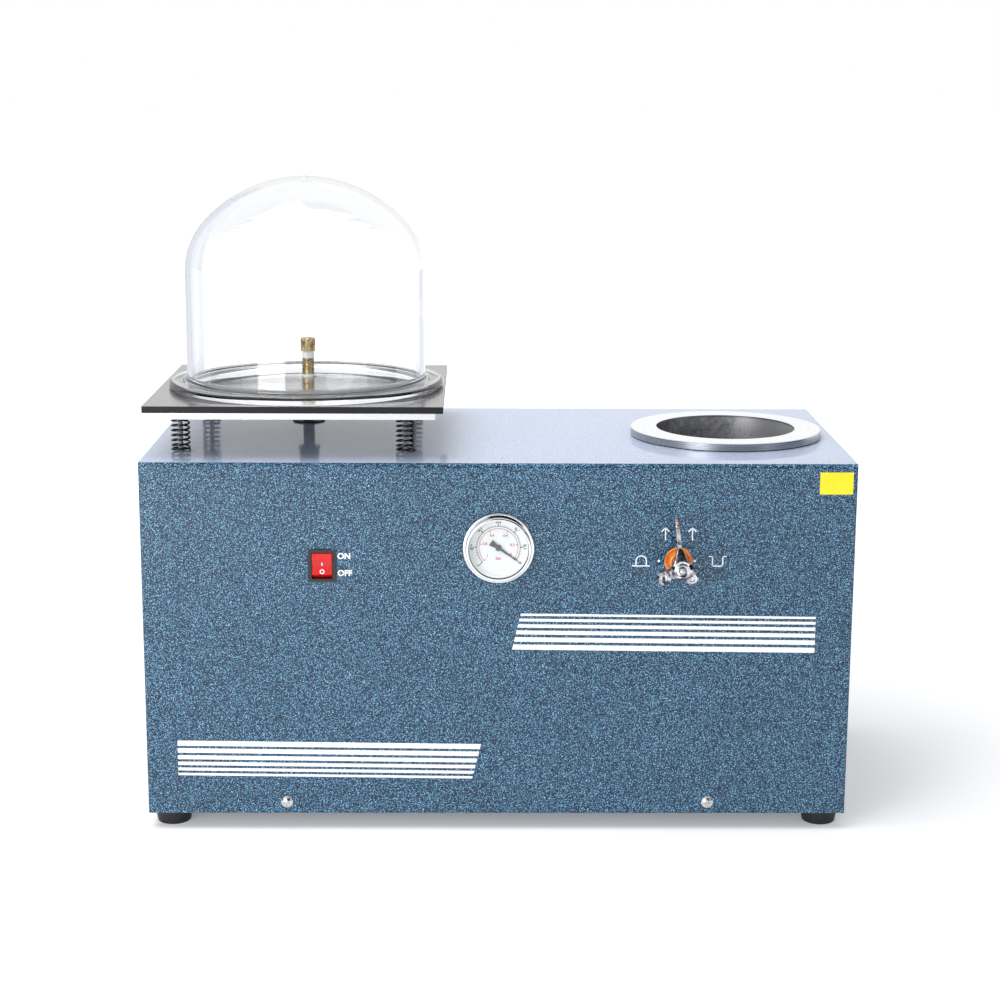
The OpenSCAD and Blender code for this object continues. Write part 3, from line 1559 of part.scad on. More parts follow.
// The start capacitor on its terminal box, on top of the motor
module capacitor() placed() color([0.11, 0.11, 0.12]) {
    can_d = motor_d * 0.31;
    can_l = motor_l * 0.53;
    box_h = 14;
    z = motor_d / 2 + fin_h;
    translate([motor_x + motor_l / 2, pump_y, pump_z]) {
        translate([0, 0, z + box_h / 2 + can_d / 2 - 6])
            along_x(can_d, -can_l / 2, can_l / 2, 48);
        translate([-can_l * 0.36, -can_d * 0.37, z + 0.1])
            cube([can_l * 0.72, can_d * 0.74, box_h]);
    }
}

// ---------- power inlet

inlet_w = 50;
inlet_h = 28;
inlet_screw_dx = 20;
module power_inlet() placed() color([0.06, 0.06, 0.06]) {
    translate([-inlet_x, cab_d + sheet_t, inlet_z]) {
        difference() {
            union() {
                rotate([-90, 0, 0])
                    round_plate(inlet_w, inlet_h, inlet_flange_t, 3);
                translate([-(inlet_w - 14) / 2, -22, -(inlet_h - 5) / 2])
                    cube([inlet_w - 14, 23, inlet_h - 5]);
            }
            translate([-12, -14, -8])
                cube([24, 20, 16]);
        }
        for (x = [-7, 0, 7])
            translate([x - 1, -16, (x == 0 ? 2 : -2) - 2])
                cube([2, 16, 4]);
        for (s = [-1, 1])
            translate([s * inlet_screw_dx, 0, 0])
                along_y(3.2, -6, 1, 32);
    }
}

// ---------- the parts

function wants(name) = node == "all" || node == name;

if (wants("cabinet_shell")) cabinet_shell();
if (wants("base_pan")) base_pan();
if (wants("rear_cover")) rear_cover();
if (wants("shell_screws")) shell_screws();
if (wants("rear_screws")) rear_screws();
if (wants("foot_front_left")) foot(-1, false);
if (wants("foot_front_right")) foot(1, false);
if (wants("foot_rear_left")) foot(-1, true);
if (wants("foot_rear_right")) foot(1, true);
if (wants("foot_screws")) foot_screws();
if (wants("table_plate")) table_plate();
if (wants("table_pad")) table_pad();
if (wants("table_studs")) table_studs();
if (wants("stud_nuts")) stud_nuts();
if (wants("spring_front_left")) spring(-1, -1);
if (wants("spring_front_right")) spring(1, -1);
if (wants("spring_rear_left")) spring(-1, 1);
if (wants("spring_rear_right")) spring(1, 1);
if (wants("hose_nut")) hose_nut();
if (wants("riser_hose")) riser_hose();
if (wants("hose_coupler")) hose_coupler();
if (wants("riser_grommet")) riser_grommet();
if (wants("standpipe")) standpipe();
if (wants("standpipe_cap")) standpipe_cap();
if (wants("pipe_tape")) pipe_tape();
if (wants("bell_jar")) bell_jar();
if (wants("casting_chamber")) casting_chamber();
if (wants("chamber_gasket")) chamber_gasket();
if (wants("chamber_bolts")) chamber_bolts();
if (wants("chamber_elbow")) chamber_elbow();
if (wants("gauge_bezel")) gauge_bezel();
if (wants("gauge_case")) gauge_case();
if (wants("gauge_dial")) gauge_dial();
if (wants("gauge_lens")) gauge_lens();
if (wants("gauge_pointer")) gauge_pointer();
if (wants("gauge_stem")) gauge_stem();
if (wants("switch_housing")) switch_housing();
if (wants("switch_rocker")) switch_rocker();
if (wants("valve_body")) valve_body();
if (wants("valve_collar")) valve_collar();
if (wants("valve_stem")) valve_stem();
if (wants("valve_handle")) valve_handle();
if (wants("handle_screw")) handle_screw();
if (wants("table_hose")) table_hose();
if (wants("chamber_hose")) chamber_hose();
if (wants("pump_hose")) pump_hose();
if (wants("gauge_tube")) gauge_tube();
if (wants("pump_cradle")) pump_cradle();
if (wants("pump_bolts")) pump_bolts();
if (wants("oil_case")) oil_case();
if (wants("oil_plugs")) oil_plugs();
if (wants("sight_glass")) sight_glass();
if (wants("exhaust_filter")) exhaust_filter();
if (wants("pump_motor")) pump_motor();
if (wants("motor_rotor")) motor_rotor();
if (wants("cooling_fan")) cooling_fan();
if (wants("fan_cowl")) fan_cowl();
if (wants("capacitor")) capacitor();
if (wants("power_inlet")) power_inlet();
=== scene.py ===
"""Looks of a jewelry vacuum casting machine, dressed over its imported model.

Everything is in metres and in the part's own frame: +X right, +Y back, +Z up, floor at z = 0.
"""
import math

import bmesh
import bpy
from mathutils import Matrix, Vector

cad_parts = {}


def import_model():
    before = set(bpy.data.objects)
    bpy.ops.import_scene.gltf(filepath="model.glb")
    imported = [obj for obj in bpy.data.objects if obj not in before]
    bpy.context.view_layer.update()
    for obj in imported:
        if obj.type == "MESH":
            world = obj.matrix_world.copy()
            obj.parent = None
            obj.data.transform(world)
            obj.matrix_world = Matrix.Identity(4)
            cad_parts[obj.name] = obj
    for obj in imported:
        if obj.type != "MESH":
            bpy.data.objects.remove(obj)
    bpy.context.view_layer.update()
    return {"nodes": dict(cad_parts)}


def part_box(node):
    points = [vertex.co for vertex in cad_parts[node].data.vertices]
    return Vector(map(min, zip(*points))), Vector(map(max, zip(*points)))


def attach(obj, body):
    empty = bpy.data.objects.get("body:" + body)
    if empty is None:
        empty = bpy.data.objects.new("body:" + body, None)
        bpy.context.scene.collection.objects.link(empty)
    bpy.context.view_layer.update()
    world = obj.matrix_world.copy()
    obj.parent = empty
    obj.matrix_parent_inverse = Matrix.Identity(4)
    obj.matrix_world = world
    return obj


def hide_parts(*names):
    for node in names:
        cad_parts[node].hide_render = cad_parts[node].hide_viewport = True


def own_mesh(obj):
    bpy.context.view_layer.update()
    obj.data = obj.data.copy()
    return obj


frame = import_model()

MM = 0.001

# ------------------------------------------------------------------ places taken from the frame


def middle(node):
    """Middle of a CAD node's box at rest."""
    low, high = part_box(node)
    return (Vector(low) + Vector(high)) / 2


def top_of(node):
    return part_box(node)[1][2]


def bottom_of(node):
    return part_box(node)[0][2]


PANEL_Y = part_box("cabinet_shell")[0][1]
CABINET_LOW = bottom_of("cabinet_shell")
CABINET_TOP = top_of("cabinet_shell")
GAUGE = middle("gauge_bezel")
SWITCH = middle("switch_housing")
VALVE = middle("valve_collar")
JAR = middle("bell_jar")
PAD_TOP = top_of("table_pad")
RING = middle("casting_chamber")
RING_TOP = top_of("casting_chamber")


# ------------------------------------------------------------------ node helpers


class Nodes:
    """A material's node tree, with short ways to add and link nodes."""

    def __init__(self, name):
        self.material = bpy.data.materials.new(name)
        self.material.use_nodes = True
        self.tree = self.material.node_tree
        self.shader = self.tree.nodes["Principled BSDF"]
        self.output = self.tree.nodes["Material Output"]
        self.point = self.add("ShaderNodeTexCoord").outputs["Object"]

    def add(self, kind, **values):
        node = self.tree.nodes.new(kind)
        for key, value in values.items():
            setattr(node, key, value)
        return node

    def link(self, source, target):
        self.tree.links.new(source, target)

    def feed(self, value, socket):
        """Sets a socket to a number or colour, or links it to another node's output."""
        if isinstance(value, tuple):
            socket.default_value = rgba(value)
        elif isinstance(value, (int, float)):
            socket.default_value = rgba(value) if socket.type == "RGBA" else value
        else:
            self.link(value, socket)

    def set(self, **values):
        """Sets sockets of the Principled shader: words joined by _ name the socket."""
        for key, value in values.items():
            self.shader.inputs[key.replace("_", " ")].default_value = value

    def noise(self, scale, detail=3.0, rough=0.5, source=None, distortion=0.0):
        node = self.add("ShaderNodeTexNoise")
        node.inputs["Scale"].default_value = scale
        node.inputs["Detail"].default_value = detail
        node.inputs["Roughness"].default_value = rough
        node.inputs["Distortion"].default_value = distortion
        self.link(source or self.point, node.inputs["Vector"])
        return node.outputs["Fac"]

    def cells(self, scale, feature, source):
        node = self.add("ShaderNodeTexVoronoi", feature=feature)
        node.inputs["Scale"].default_value = scale
        self.link(source, node.inputs["Vector"])
        return node.outputs["Distance"]

    def ramp(self, fac, *stops):
        """A colour ramp: stops are (position, colour), a colour being a grey level or r, g, b."""
        node = self.add("ShaderNodeValToRGB")
        band = node.color_ramp
        while len(band.elements) < len(stops):
            band.elements.new(0.5)
        for element, (position, colour) in zip(band.elements, stops):
            element.position = position
            element.color = rgba(colour)
        self.link(fac, node.inputs["Fac"])
        return node.outputs["Color"]

    def math(self, operation, a, b=0.0, clamp=False):
        node = self.add("ShaderNodeMath", operation=operation, use_clamp=clamp)
        self.feed(a, node.inputs[0])
        self.feed(b, node.inputs[1])
        return node.outputs["Value"]

    def mix(self, fac, a, b, blend="MIX"):
        node = self.add("ShaderNodeMix", data_type="RGBA", blend_type=blend)
        for value, index in ((fac, 0), (a, 6), (b, 7)):    # 6 and 7 are its colour inputs
            self.feed(value, node.inputs[index])
        return node.outputs[2]

    def colour(self, source):
        self.link(source, self.shader.inputs["Base Color"])

    def roughness(self, source):
        self.link(source, self.shader.inputs["Roughness"])

    def bump(self, height, distance, strength=1.0):
        node = self.add("ShaderNodeBump")
        node.inputs["Strength"].default_value = strength
        node.inputs["Distance"].default_value = distance
        self.link(height, node.inputs["Height"])
        self.link(node.outputs["Normal"], self.shader.inputs["Normal"])

    def about(self, centre, axis="Z"):
        """(distance from an axis through centre, angle about it, place along it)."""
        moved = self.add("ShaderNodeVectorMath", operation="SUBTRACT")
        self.link(self.point, moved.inputs[0])
        moved.inputs[1].default_value = centre
        split = self.add("ShaderNodeSeparateXYZ")
        self.link(moved.outputs[0], split.inputs[0])
        along = split.outputs[axis]
        u, v = (split.outputs[name] for name in "XYZ" if name != axis)
        squares = self.math("ADD", self.math("POWER", u, 2), self.math("POWER", v, 2))
        radius = self.math("SQRT", squares)
        return radius, self.math("ARCTAN2", v, u), along

    def vector(self, x=0.0, y=0.0, z=0.0):
        node = self.add("ShaderNodeCombineXYZ")
        for socket, value in zip(node.inputs, (x, y, z)):
            self.feed(value, socket)
        return node.outputs[0]

    def normal(self):
        """The surface's own direction, as x, y, z outputs."""
        split = self.add("ShaderNodeSeparateXYZ")
        self.link(self.add("ShaderNodeTexCoord").outputs["Normal"], split.inputs[0])
        return split.outputs

    def facing(self):
        """0 seen straight on, rising to 1 at a glancing angle."""
        glance = self.add("ShaderNodeLayerWeight")
        glance.inputs["Blend"].default_value = 0.5
        return glance.outputs["Facing"]


def linear(value):
    """One sRGB channel, 0 to 255, as linear light."""
    value /= 255
    return value / 12.92 if value <= 0.04045 else ((value + 0.055) / 1.055) ** 2.4


def srgb(r, g, b):
    return (linear(r), linear(g), linear(b))


def rgba(colour):
    if isinstance(colour, (int, float)):
        return (colour, colour, colour, 1.0)
    return (*colour[:3], 1.0)


# ------------------------------------------------------------------ materials


def hammered_paint():
    """Hammertone enamel: small pale pools ringed by darker blue, under a glossy skin. Its colour is
    painted pale at a glancing angle, a painted reflection of a bright room mirrored in it."""
    m = Nodes("hammered_paint")
    warp = m.noise(1100, 2, 0.5)
    shifted = m.add("ShaderNodeVectorMath", operation="MULTIPLY_ADD")
    m.link(warp, shifted.inputs[0])
    shifted.inputs[1].default_value = (0.001, 0.001, 0.001)
    m.link(m.point, shifted.inputs[2])
    pools = m.cells(900, "SMOOTH_F1", source=shifted.outputs[0])
    speckle = m.noise(1200, 3, 0.6)
    field = m.math("ADD", m.math("MULTIPLY", pools, 0.7), m.math("MULTIPLY", speckle, 0.75))
    colour = m.ramp(field, (0.43, srgb(160, 210, 238)), (0.575, srgb(44, 108, 144)),
                    (0.69, srgb(0, 20, 48)))
    broad = m.ramp(m.noise(9, 2, 0.5), (0.3, 0.95), (0.7, 1.04))
    # painted reflection: at a glancing angle the colour is blended towards pale, for a bright room
    # mirrored in the paint
    glancing_painted_reflection = m.ramp(m.facing(), (0.62, 0.0), (0.84, 0.86))
    pale = m.ramp(field, (0.4, srgb(232, 236, 246)), (0.75, srgb(168, 182, 212)))
    m.colour(m.mix(glancing_painted_reflection, m.mix(1.0, colour, broad, "MULTIPLY"), pale))
    m.roughness(m.ramp(speckle, (0.3, 0.42), (0.7, 0.55)))
    m.bump(m.math("MULTIPLY", field, -1.0), 0.0001, 0.12)
    m.set(Coat_Weight=0.55, Coat_Roughness=0.06, Coat_IOR=1.5, Specular_IOR_Level=0.3)
    return m.material


def white_print():
    """Screen printed ink: nearly flat, with a faint grain."""
    m = Nodes("white_print")
    m.colour(m.ramp(m.noise(900, 2, 0.6), (0.35, srgb(226, 232, 236)), (0.65, srgb(246, 249, 250))))
    m.bump(m.noise(500, 2), 0.00002, 0.3)
    m.set(Roughness=0.4)
    return m.material


def yellow_film():
    m = Nodes("yellow_film")
    m.colour(m.ramp(m.noise(60, 2), (0.3, srgb(240, 215, 20)), (0.7, srgb(250, 228, 40))))
    m.set(Roughness=0.3)
    return m.material


def rubber(name, dark, pale, roughness):
    """Moulded rubber: a dusty variation over a fine grain."""
    m = Nodes(name)
    dust = m.noise(14, 5, 0.6)
    m.colour(m.ramp(dust, (0.35, dark), (0.75, pale)))
    m.roughness(m.ramp(m.noise(40, 3), (0.3, roughness - 0.06), (0.7, roughness + 0.08)))
    m.bump(m.noise(700, 3, 0.6), 0.00004, 0.5)
    m.set(IOR=1.5)
    return m.material


def pad_rubber():
    """The table's pad: smooth black sheet rubber, satin on top, with rub marks and pale dust, and
    its sides painted darker, a painted shade.
    """
    m = Nodes("pad_rubber")
    dust = m.noise(16, 6, 0.65)
    rubbed = m.noise(6, 3, 0.5, distortion=1.2)
    base = m.ramp(dust, (0.30, srgb(34, 33, 35)), (0.78, srgb(60, 59, 61)))
    worn = m.mix(m.ramp(rubbed, (0.45, 0.0), (0.75, 0.5)), base, srgb(104, 101, 102))
    m.roughness(m.ramp(dust, (0.3, 0.30), (0.7, 0.42)))
    m.bump(m.noise(260, 4, 0.6), 0.00005, 0.4)
    upward = m.normal()["Z"]
    # painted shade: where the normal is level, on the pad's sides, the colour is painted darker
    # than on its top
    m.colour(m.mix(upward, srgb(30, 30, 33), worn))
    skin = m.math("MULTIPLY", upward, 0.95, clamp=True)
    m.link(skin, m.shader.inputs["Coat Weight"])
    m.set(IOR=1.4, Specular_IOR_Level=0.25, Coat_Roughness=0.14, Coat_IOR=1.6)
    return m.material


def brushed_metal(name, colour, roughness):
    """Plain metal with a fine brushed grain and faint clouds."""
    m = Nodes(name)
    grain = m.noise(500, 4, 0.7)
    cloud = m.noise(28, 3, 0.55)
    shade = m.ramp(cloud, (0.3, tuple(c * 0.86 for c in colour)), (0.7, colour))
    m.colour(m.mix(0.35, shade, m.ramp(grain, (0.3, 0.55), (0.7, 1.0)), "MULTIPLY"))
    m.roughness(m.ramp(grain, (0.3, roughness - 0.06), (0.7, roughness + 0.08)))
    m.bump(grain, 0.00003, 0.5)
    m.set(Metallic=1.0)
    return m.material


def sheet_metal(name, colour, roughness):
    """Rolled or plated metal: long faint grain and a few cloudy patches."""
    m = Nodes(name)
    stretched = m.add("ShaderNodeMapping")
    stretched.inputs["Scale"].default_value = (1.0, 18.0, 18.0)
    m.link(m.point, stretched.inputs["Vector"])
    grain = m.noise(90, 4, 0.7, stretched.outputs[0])
    shade = m.ramp(m.noise(22, 4, 0.6), (0.3, tuple(c * 0.85 for c in colour)), (0.72, colour))
    m.colour(shade)
    m.roughness(m.ramp(grain, (0.3, roughness - 0.07), (0.7, roughness + 0.09)))
    m.bump(grain, 0.00003, 0.4)
    m.set(Metallic=1.0)
    return m.material


def chrome():
    """Bright plating, very slightly uneven, with a little tarnish."""
    m = Nodes("chrome")
    tarnish = m.noise(60, 4, 0.6)
    m.colour(m.ramp(tarnish, (0.35, srgb(206, 208, 212)), (0.65, srgb(232, 234, 236))))
    m.roughness(m.ramp(m.noise(130, 3, 0.6), (0.35, 0.05), (0.75, 0.14)))
    m.bump(m.noise(160, 3), 0.00005, 0.25)
    m.set(Metallic=1.0)
    return m.material


def worn_chrome_and_painted_reflection():
    """The handle's plating: streaked dark and bright, partly wear and partly painted reflection of
    dark surroundings, and browner towards the long arm's tip.
    """
    m = Nodes("worn_chrome_and_painted_reflection")
    streaks = m.noise(70, 5, 0.65, distortion=1.4)
    split = m.add("ShaderNodeSeparateXYZ")
    m.link(m.point, split.inputs[0])
    height = m.math("MULTIPLY", m.math("SUBTRACT", split.outputs["Z"], VALVE.z), 10)
    # streaks of dark and bright: partly worn plating, partly painted reflection of the dark things
    # round the handle
    plating_and_painted_reflection = m.ramp(streaks, (0.38, srgb(66, 67, 72)), (0.5, srgb(168, 170, 174)),
                    (0.6, srgb(232, 233, 236)))
    brown = m.ramp(streaks, (0.4, srgb(52, 40, 36)), (0.6, srgb(150, 132, 122)))
    m.colour(m.mix(m.ramp(height, (0.26, 0.0), (0.36, 0.85)), plating_and_painted_reflection, brown))
    m.roughness(m.ramp(m.noise(130, 3, 0.6), (0.35, 0.1), (0.75, 0.22)))
    m.bump(m.noise(160, 3), 0.0001, 0.3)
    m.set(Metallic=1.0)
    return m.material


def brass():
    """Handled brass: bright faces, brown in the hollows."""
    m = Nodes("brass")
    stain = m.noise(170, 5, 0.65)
    m.colour(m.ramp(stain, (0.32, srgb(98, 78, 50)), (0.52, srgb(160, 136, 94)),
                    (0.72, srgb(206, 186, 142))))
    m.roughness(m.ramp(stain, (0.3, 0.36), (0.7, 0.18)))
    m.bump(m.noise(420, 4, 0.6), 0.00005, 0.4)
    m.set(Metallic=1.0)
    return m.material


def copper_collar():
    """The collar's orange anodised face, turned in fine rings."""
    m = Nodes("copper_collar")
    radius, _, _ = m.about(VALVE, "Y")
    rings = m.noise(1.0, 3, 0.6, m.vector(m.math("MULTIPLY", radius, 1400)))
    m.colour(m.ramp(rings, (0.34, srgb(188, 74, 10)), (0.5, srgb(240, 128, 28)),
                    (0.66, srgb(255, 176, 84))))
    m.roughness(m.ramp(rings, (0.3, 0.2), (0.7, 0.34)))
    m.bump(rings, 0.00006, 0.5)
    m.set(Metallic=0.6, Coat_Weight=0.5, Coat_Roughness=0.1)
    return m.material


def cast_chamber():
    """The chamber: bright turned ring, its side painted greyer than its top, a painted shade, and a
    rough cast bore, blotched by use, its right-hand wall painted bright, a painted light, and
    darker towards its bottom.
    """
    m = Nodes("cast_chamber")
    radius, _, along = m.about((RING.x, RING.y, RING_TOP), "Z")
    turning = m.vector(m.math("MULTIPLY", radius, 1500), m.math("MULTIPLY", along, 1500))
    rings = m.noise(1.0, 4, 0.75, turning)
    casting = m.noise(240, 6, 0.75)
    blotch = m.noise(42, 7, 0.75, distortion=0.6)
    turned = m.ramp(rings, (0.3, srgb(236, 237, 240)), (0.7, srgb(250, 251, 252)))
    # painted shade: the ring's side, where the normal is level, is painted greyer than its top
    rim = m.ramp(rings, (0.3, srgb(120, 122, 128)), (0.7, srgb(186, 188, 194)))
    normal = m.normal()
    turned = m.mix(m.math("ABSOLUTE", normal["Z"]), rim, turned)
    # painted light: the bore's right-hand wall is painted bright and its left-hand wall dull, by
    # which way each wall faces
    side = m.math("MULTIPLY", normal["X"], -0.22)
    painted_side_light_and_grain = m.math("ADD", side, m.math("MULTIPLY", casting, 0.35))
    shade = m.math("ADD", painted_side_light_and_grain, m.math("MULTIPLY", blotch, 0.75))
    raw = m.ramp(shade, (0.36, srgb(78, 78, 83)), (0.47, srgb(168, 168, 173)),
                 (0.60, srgb(255, 255, 255)))
    # darker towards the bottom of the bore, in blotches
    depth = m.math("MULTIPLY", along, -9.0)
    depth_and_blotch = m.math("ADD", depth, m.math("MULTIPLY", blotch, 0.9))
    dark_low_mask = m.ramp(depth_and_blotch, (0.66, 0.0), (0.78, 0.85))
    raw = m.mix(dark_low_mask, raw, srgb(26, 25, 26))
    inside = m.ramp(m.math("MULTIPLY", radius, 10), (0.708, 1.0), (0.712, 0.0))
    below = m.ramp(m.math("MULTIPLY", along, -100.0), (0.10, 0.0), (0.28, 1.0))
    is_raw = m.math("MULTIPLY", inside, below)
    m.colour(m.mix(is_raw, turned, raw))
    m.roughness(m.mix(is_raw, m.ramp(rings, (0.3, 0.20), (0.7, 0.32)), 0.42))
    m.bump(m.mix(is_raw, m.ramp(rings, (0.3, 0.47), (0.7, 0.53)), casting), 0.0007, 0.45)
    m.set(Metallic=0.8)
    return m.material


def spring_steel():
    """Oiled black spring wire that catches the light along each turn."""
    m = Nodes("spring_steel")
    m.colour(m.ramp(m.noise(260, 3), (0.3, srgb(34, 34, 36)), (0.7, srgb(84, 84, 88))))
    m.roughness(m.ramp(m.noise(300, 3), (0.3, 0.12), (0.7, 0.24)))
    m.bump(m.noise(900, 2), 0.00003, 0.3)
    m.set(Metallic=1.0)
    return m.material


def threaded_stud():
    """Screwed rod: crests painted bright and roots painted dark, turn by turn, a painted highlight
    and shade.
    """
    m = Nodes("threaded_stud")
    split = m.add("ShaderNodeSeparateXYZ")
    m.link(m.point, split.inputs[0])
    wave = m.math("SINE", m.math("MULTIPLY", split.outputs["Z"], 2 * math.pi / (0.9 * MM)))
    thread = m.math("MULTIPLY", m.math("ADD", wave, 1.0), 0.5)
    # painted highlight and shade: the colour follows the thread, bright on the crests and dark in
    # the roots
    m.colour(m.ramp(thread, (0.1, srgb(90, 90, 94)), (0.5, srgb(236, 237, 240))))
    m.roughness(m.ramp(m.noise(300, 3), (0.3, 0.2), (0.7, 0.36)))
    m.bump(thread, 0.0004, 0.8)
    m.set(Metallic=0.35)
    return m.material


def plastic(name, dark, pale, roughness):
    """Moulded plastic or printed ink: faint clouds of colour and a fine grain."""
    m = Nodes(name)
    m.colour(m.ramp(m.noise(30, 3), (0.35, dark), (0.7, pale)))
    m.roughness(m.ramp(m.noise(220, 3), (0.3, roughness - 0.04), (0.7, roughness + 0.06)))
    m.bump(m.noise(800, 2), 0.00003, 0.4)
    return m.material


def enamel(name, dark, pale):
    """Stove enamel on pressed steel or a casting, with orange peel."""
    m = Nodes(name)
    roughness = 0.35
    m.colour(m.ramp(m.noise(24, 4), (0.35, dark), (0.7, pale)))
    m.roughness(m.ramp(m.noise(120, 3), (0.3, roughness - 0.05), (0.7, roughness + 0.07)))
    m.bump(m.noise(340, 2), 0.00005, 0.4)
    m.set(Coat_Weight=0.3, Coat_Roughness=0.2)
    return m.material


def pump_casting():
    """Sand-cast aluminium, dull and grainy."""
    m = Nodes("pump_casting")
    grain = m.noise(300, 5, 0.7)
    m.colour(m.ramp(m.noise(30, 4), (0.3, srgb(112, 113, 115)), (0.7, srgb(150, 151, 153))))
    m.roughness(m.ramp(grain, (0.3, 0.45), (0.7, 0.6)))
    m.bump(grain, 0.0002, 0.5)
    m.set(Metallic=0.8)
    return m.material


def clear_glass(name, tint, edge):
    """Clear glass, deeper in colour where it is seen edgeways, whose lamp shadow is let through."""
    m = Nodes(name)
    ripple = m.noise(7, 2, 0.4)
    m.bump(ripple, 0.0003, 0.05)
    m.colour(m.ramp(m.facing(), (0.55, tint), (0.98, edge)))
    m.set(Roughness=0.0, IOR=1.47, Transmission_Weight=1.0)
    path = m.add("ShaderNodeLightPath")
    clear = m.add("ShaderNodeBsdfTransparent")
    clear.inputs["Color"].default_value = (0.93, 0.95, 0.96, 1.0)
    mixed = m.add("ShaderNodeMixShader")
    unlit = m.math("MAXIMUM", path.outputs["Is Shadow Ray"], path.outputs["Is Diffuse Ray"])
    m.link(unlit, mixed.inputs[0])
    m.link(m.shader.outputs[0], mixed.inputs[1])
    m.link(clear.outputs[0], mixed.inputs[2])
    m.link(mixed.outputs[0], m.output.inputs["Surface"])
    return m.material


def dial_paint():
    m = Nodes("dial_paint")
    m.colour(m.ramp(m.noise(40, 2), (0.35, srgb(232, 233, 232)), (0.7, srgb(244, 245, 244))))
    m.set(Roughness=0.45)
    return m.material


def thread_tape():
    """White sealing tape, wound on by hand."""
    m = Nodes("thread_tape")
    _, angle, along = m.about(middle("standpipe"), "Z")
    winding = m.vector(m.math("MULTIPLY", along, 900), m.math("MULTIPLY", angle, 1.2))
    wraps = m.noise(1.0, 4, 0.6, winding)
    m.colour(m.ramp(wraps, (0.3, srgb(206, 206, 200)), (0.6, srgb(246, 246, 244))))
    m.bump(wraps, 0.0003, 0.6)
    m.set(Roughness=0.5)
    return m.material


INK = plastic("dial_ink", srgb(16, 16, 18), srgb(30, 30, 32), 0.4)
RED_INK = plastic("red_ink", srgb(190, 24, 30), srgb(206, 36, 40), 0.4)
WHITE_INK = white_print()
PAINT = hammered_paint()
CHROME = chrome()
BRASS = brass()
GLASS = clear_glass("jar_glass", (0.98, 0.99, 1.0), (0.93, 0.95, 0.98))
SPRING = spring_steel()
HOSE = rubber("hose_rubber", srgb(18, 18, 19), srgb(40, 40, 41), 0.42)
ZINC = sheet_metal("zinc_plate", srgb(214, 215, 216), 0.24)
BLACK = plastic("black_plastic", srgb(18, 18, 19), srgb(32, 32, 34), 0.42)

NODE_LOOKS = {
    PAINT: ("cabinet_shell", "base_pan", "rear_cover"),
    ZINC: ("shell_screws", "rear_screws", "foot_screws", "stud_nuts", "chamber_bolts", "pump_bolts",
           "handle_screw"),
    threaded_stud(): ("table_studs",),
    rubber("foot_rubber", srgb(14, 14, 15), srgb(34, 34, 35), 0.55): (
        "foot_front_left", "foot_front_right", "foot_rear_left", "foot_rear_right"),
    pad_rubber(): ("table_pad",),
    rubber("gasket_rubber", srgb(30, 26, 24), srgb(52, 46, 42), 0.6): (
        "chamber_gasket", "riser_grommet"),
    HOSE: ("table_hose", "chamber_hose", "pump_hose"),
    sheet_metal("plate_aluminium", srgb(214, 216, 219), 0.26): ("table_plate",),
    cast_chamber(): ("casting_chamber",),
    pump_casting(): ("oil_case",),
    BRASS: ("standpipe", "standpipe_cap", "hose_coupler", "chamber_elbow", "gauge_stem",
            "valve_body", "valve_stem"),
    thread_tape(): ("pipe_tape",),
    clear_glass("lens_glass", (0.99, 1.0, 1.0), (0.95, 0.97, 0.98)): (
        "gauge_lens", "sight_glass"),
    CHROME: ("gauge_bezel",),
    worn_chrome_and_painted_reflection(): ("valve_handle",),
    copper_collar(): ("valve_collar",),
    enamel("black_enamel", srgb(16, 16, 17), srgb(30, 30, 32)): (
        "gauge_case", "gauge_pointer", "pump_cradle", "fan_cowl"),
    dial_paint(): ("gauge_dial",),
    BLACK: ("hose_nut", "switch_housing", "oil_plugs", "exhaust_filter", "cooling_fan",
            "capacitor", "power_inlet"),
    plastic("red_plastic", srgb(196, 16, 20), srgb(222, 34, 34), 0.22): ("switch_rocker",),
    plastic("milky_tube", srgb(190, 200, 204), srgb(216, 224, 226), 0.3): ("gauge_tube",),
    enamel("motor_enamel", srgb(86, 110, 128), srgb(112, 138, 156)): ("pump_motor",),
    brushed_metal("rotor_steel", srgb(176, 178, 182), 0.3): ("motor_rotor",),
}


def paint_nodes():
    for material, names in NODE_LOOKS.items():
        for name in names:
            mesh = frame["nodes"][name].data
            mesh.materials.clear()
            mesh.materials.append(material)


# ------------------------------------------------------------------ mesh helpers

INK_T = 0.12 * MM    # thickness of every printed or moulded mark


def mm(*values):
    return tuple(value * MM for value in values)


def add_object(name, data):
    item = bpy.data.objects.new(name, data)
    bpy.context.scene.collection.objects.link(item)
    return item


def mesh_from(name, bm):
    mesh = bpy.data.meshes.new(name)
    bm.to_mesh(mesh)
    bm.free()
    return mesh


def add_mesh(name, bm, material, body, smooth=True):
    """Turns a bmesh into a piece that rides on a CAD body."""
    mesh = mesh_from(name, bm)
    for polygon in mesh.polygons:
        polygon.use_smooth = smooth
    mesh.materials.append(material)
    piece = add_object(name, mesh)
    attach(piece, body)
    return piece


def add_print(name, bm, material, body):
    """Turns slabs into a flat-shaded piece with all its faces turned outwards."""
    bmesh.ops.recalc_face_normals(bm, faces=bm.faces)
    add_mesh(name, bm, material, body, smooth=False)


def revolve(profile, centre, steps):
    """A bmesh of a closed profile of (radius, height) points turned about a vertical axis."""
    bm = bmesh.new()
    rings = []
    for radius, height in profile:
        ring = []
        for i in range(steps):
            angle = 2 * math.pi * i / steps
            ring.append(bm.verts.new((centre[0] + radius * math.cos(angle),
                                      centre[1] + radius * math.sin(angle),
                                      centre[2] + height)))
        rings.append(ring)
    for low, high in zip(rings, rings[1:] + rings[:1]):
        for i in range(steps):
            j = (i + 1) % steps
            bm.faces.new((low[i], low[j], high[j], high[i]))
    bmesh.ops.recalc_face_normals(bm, faces=bm.faces)
    return bm


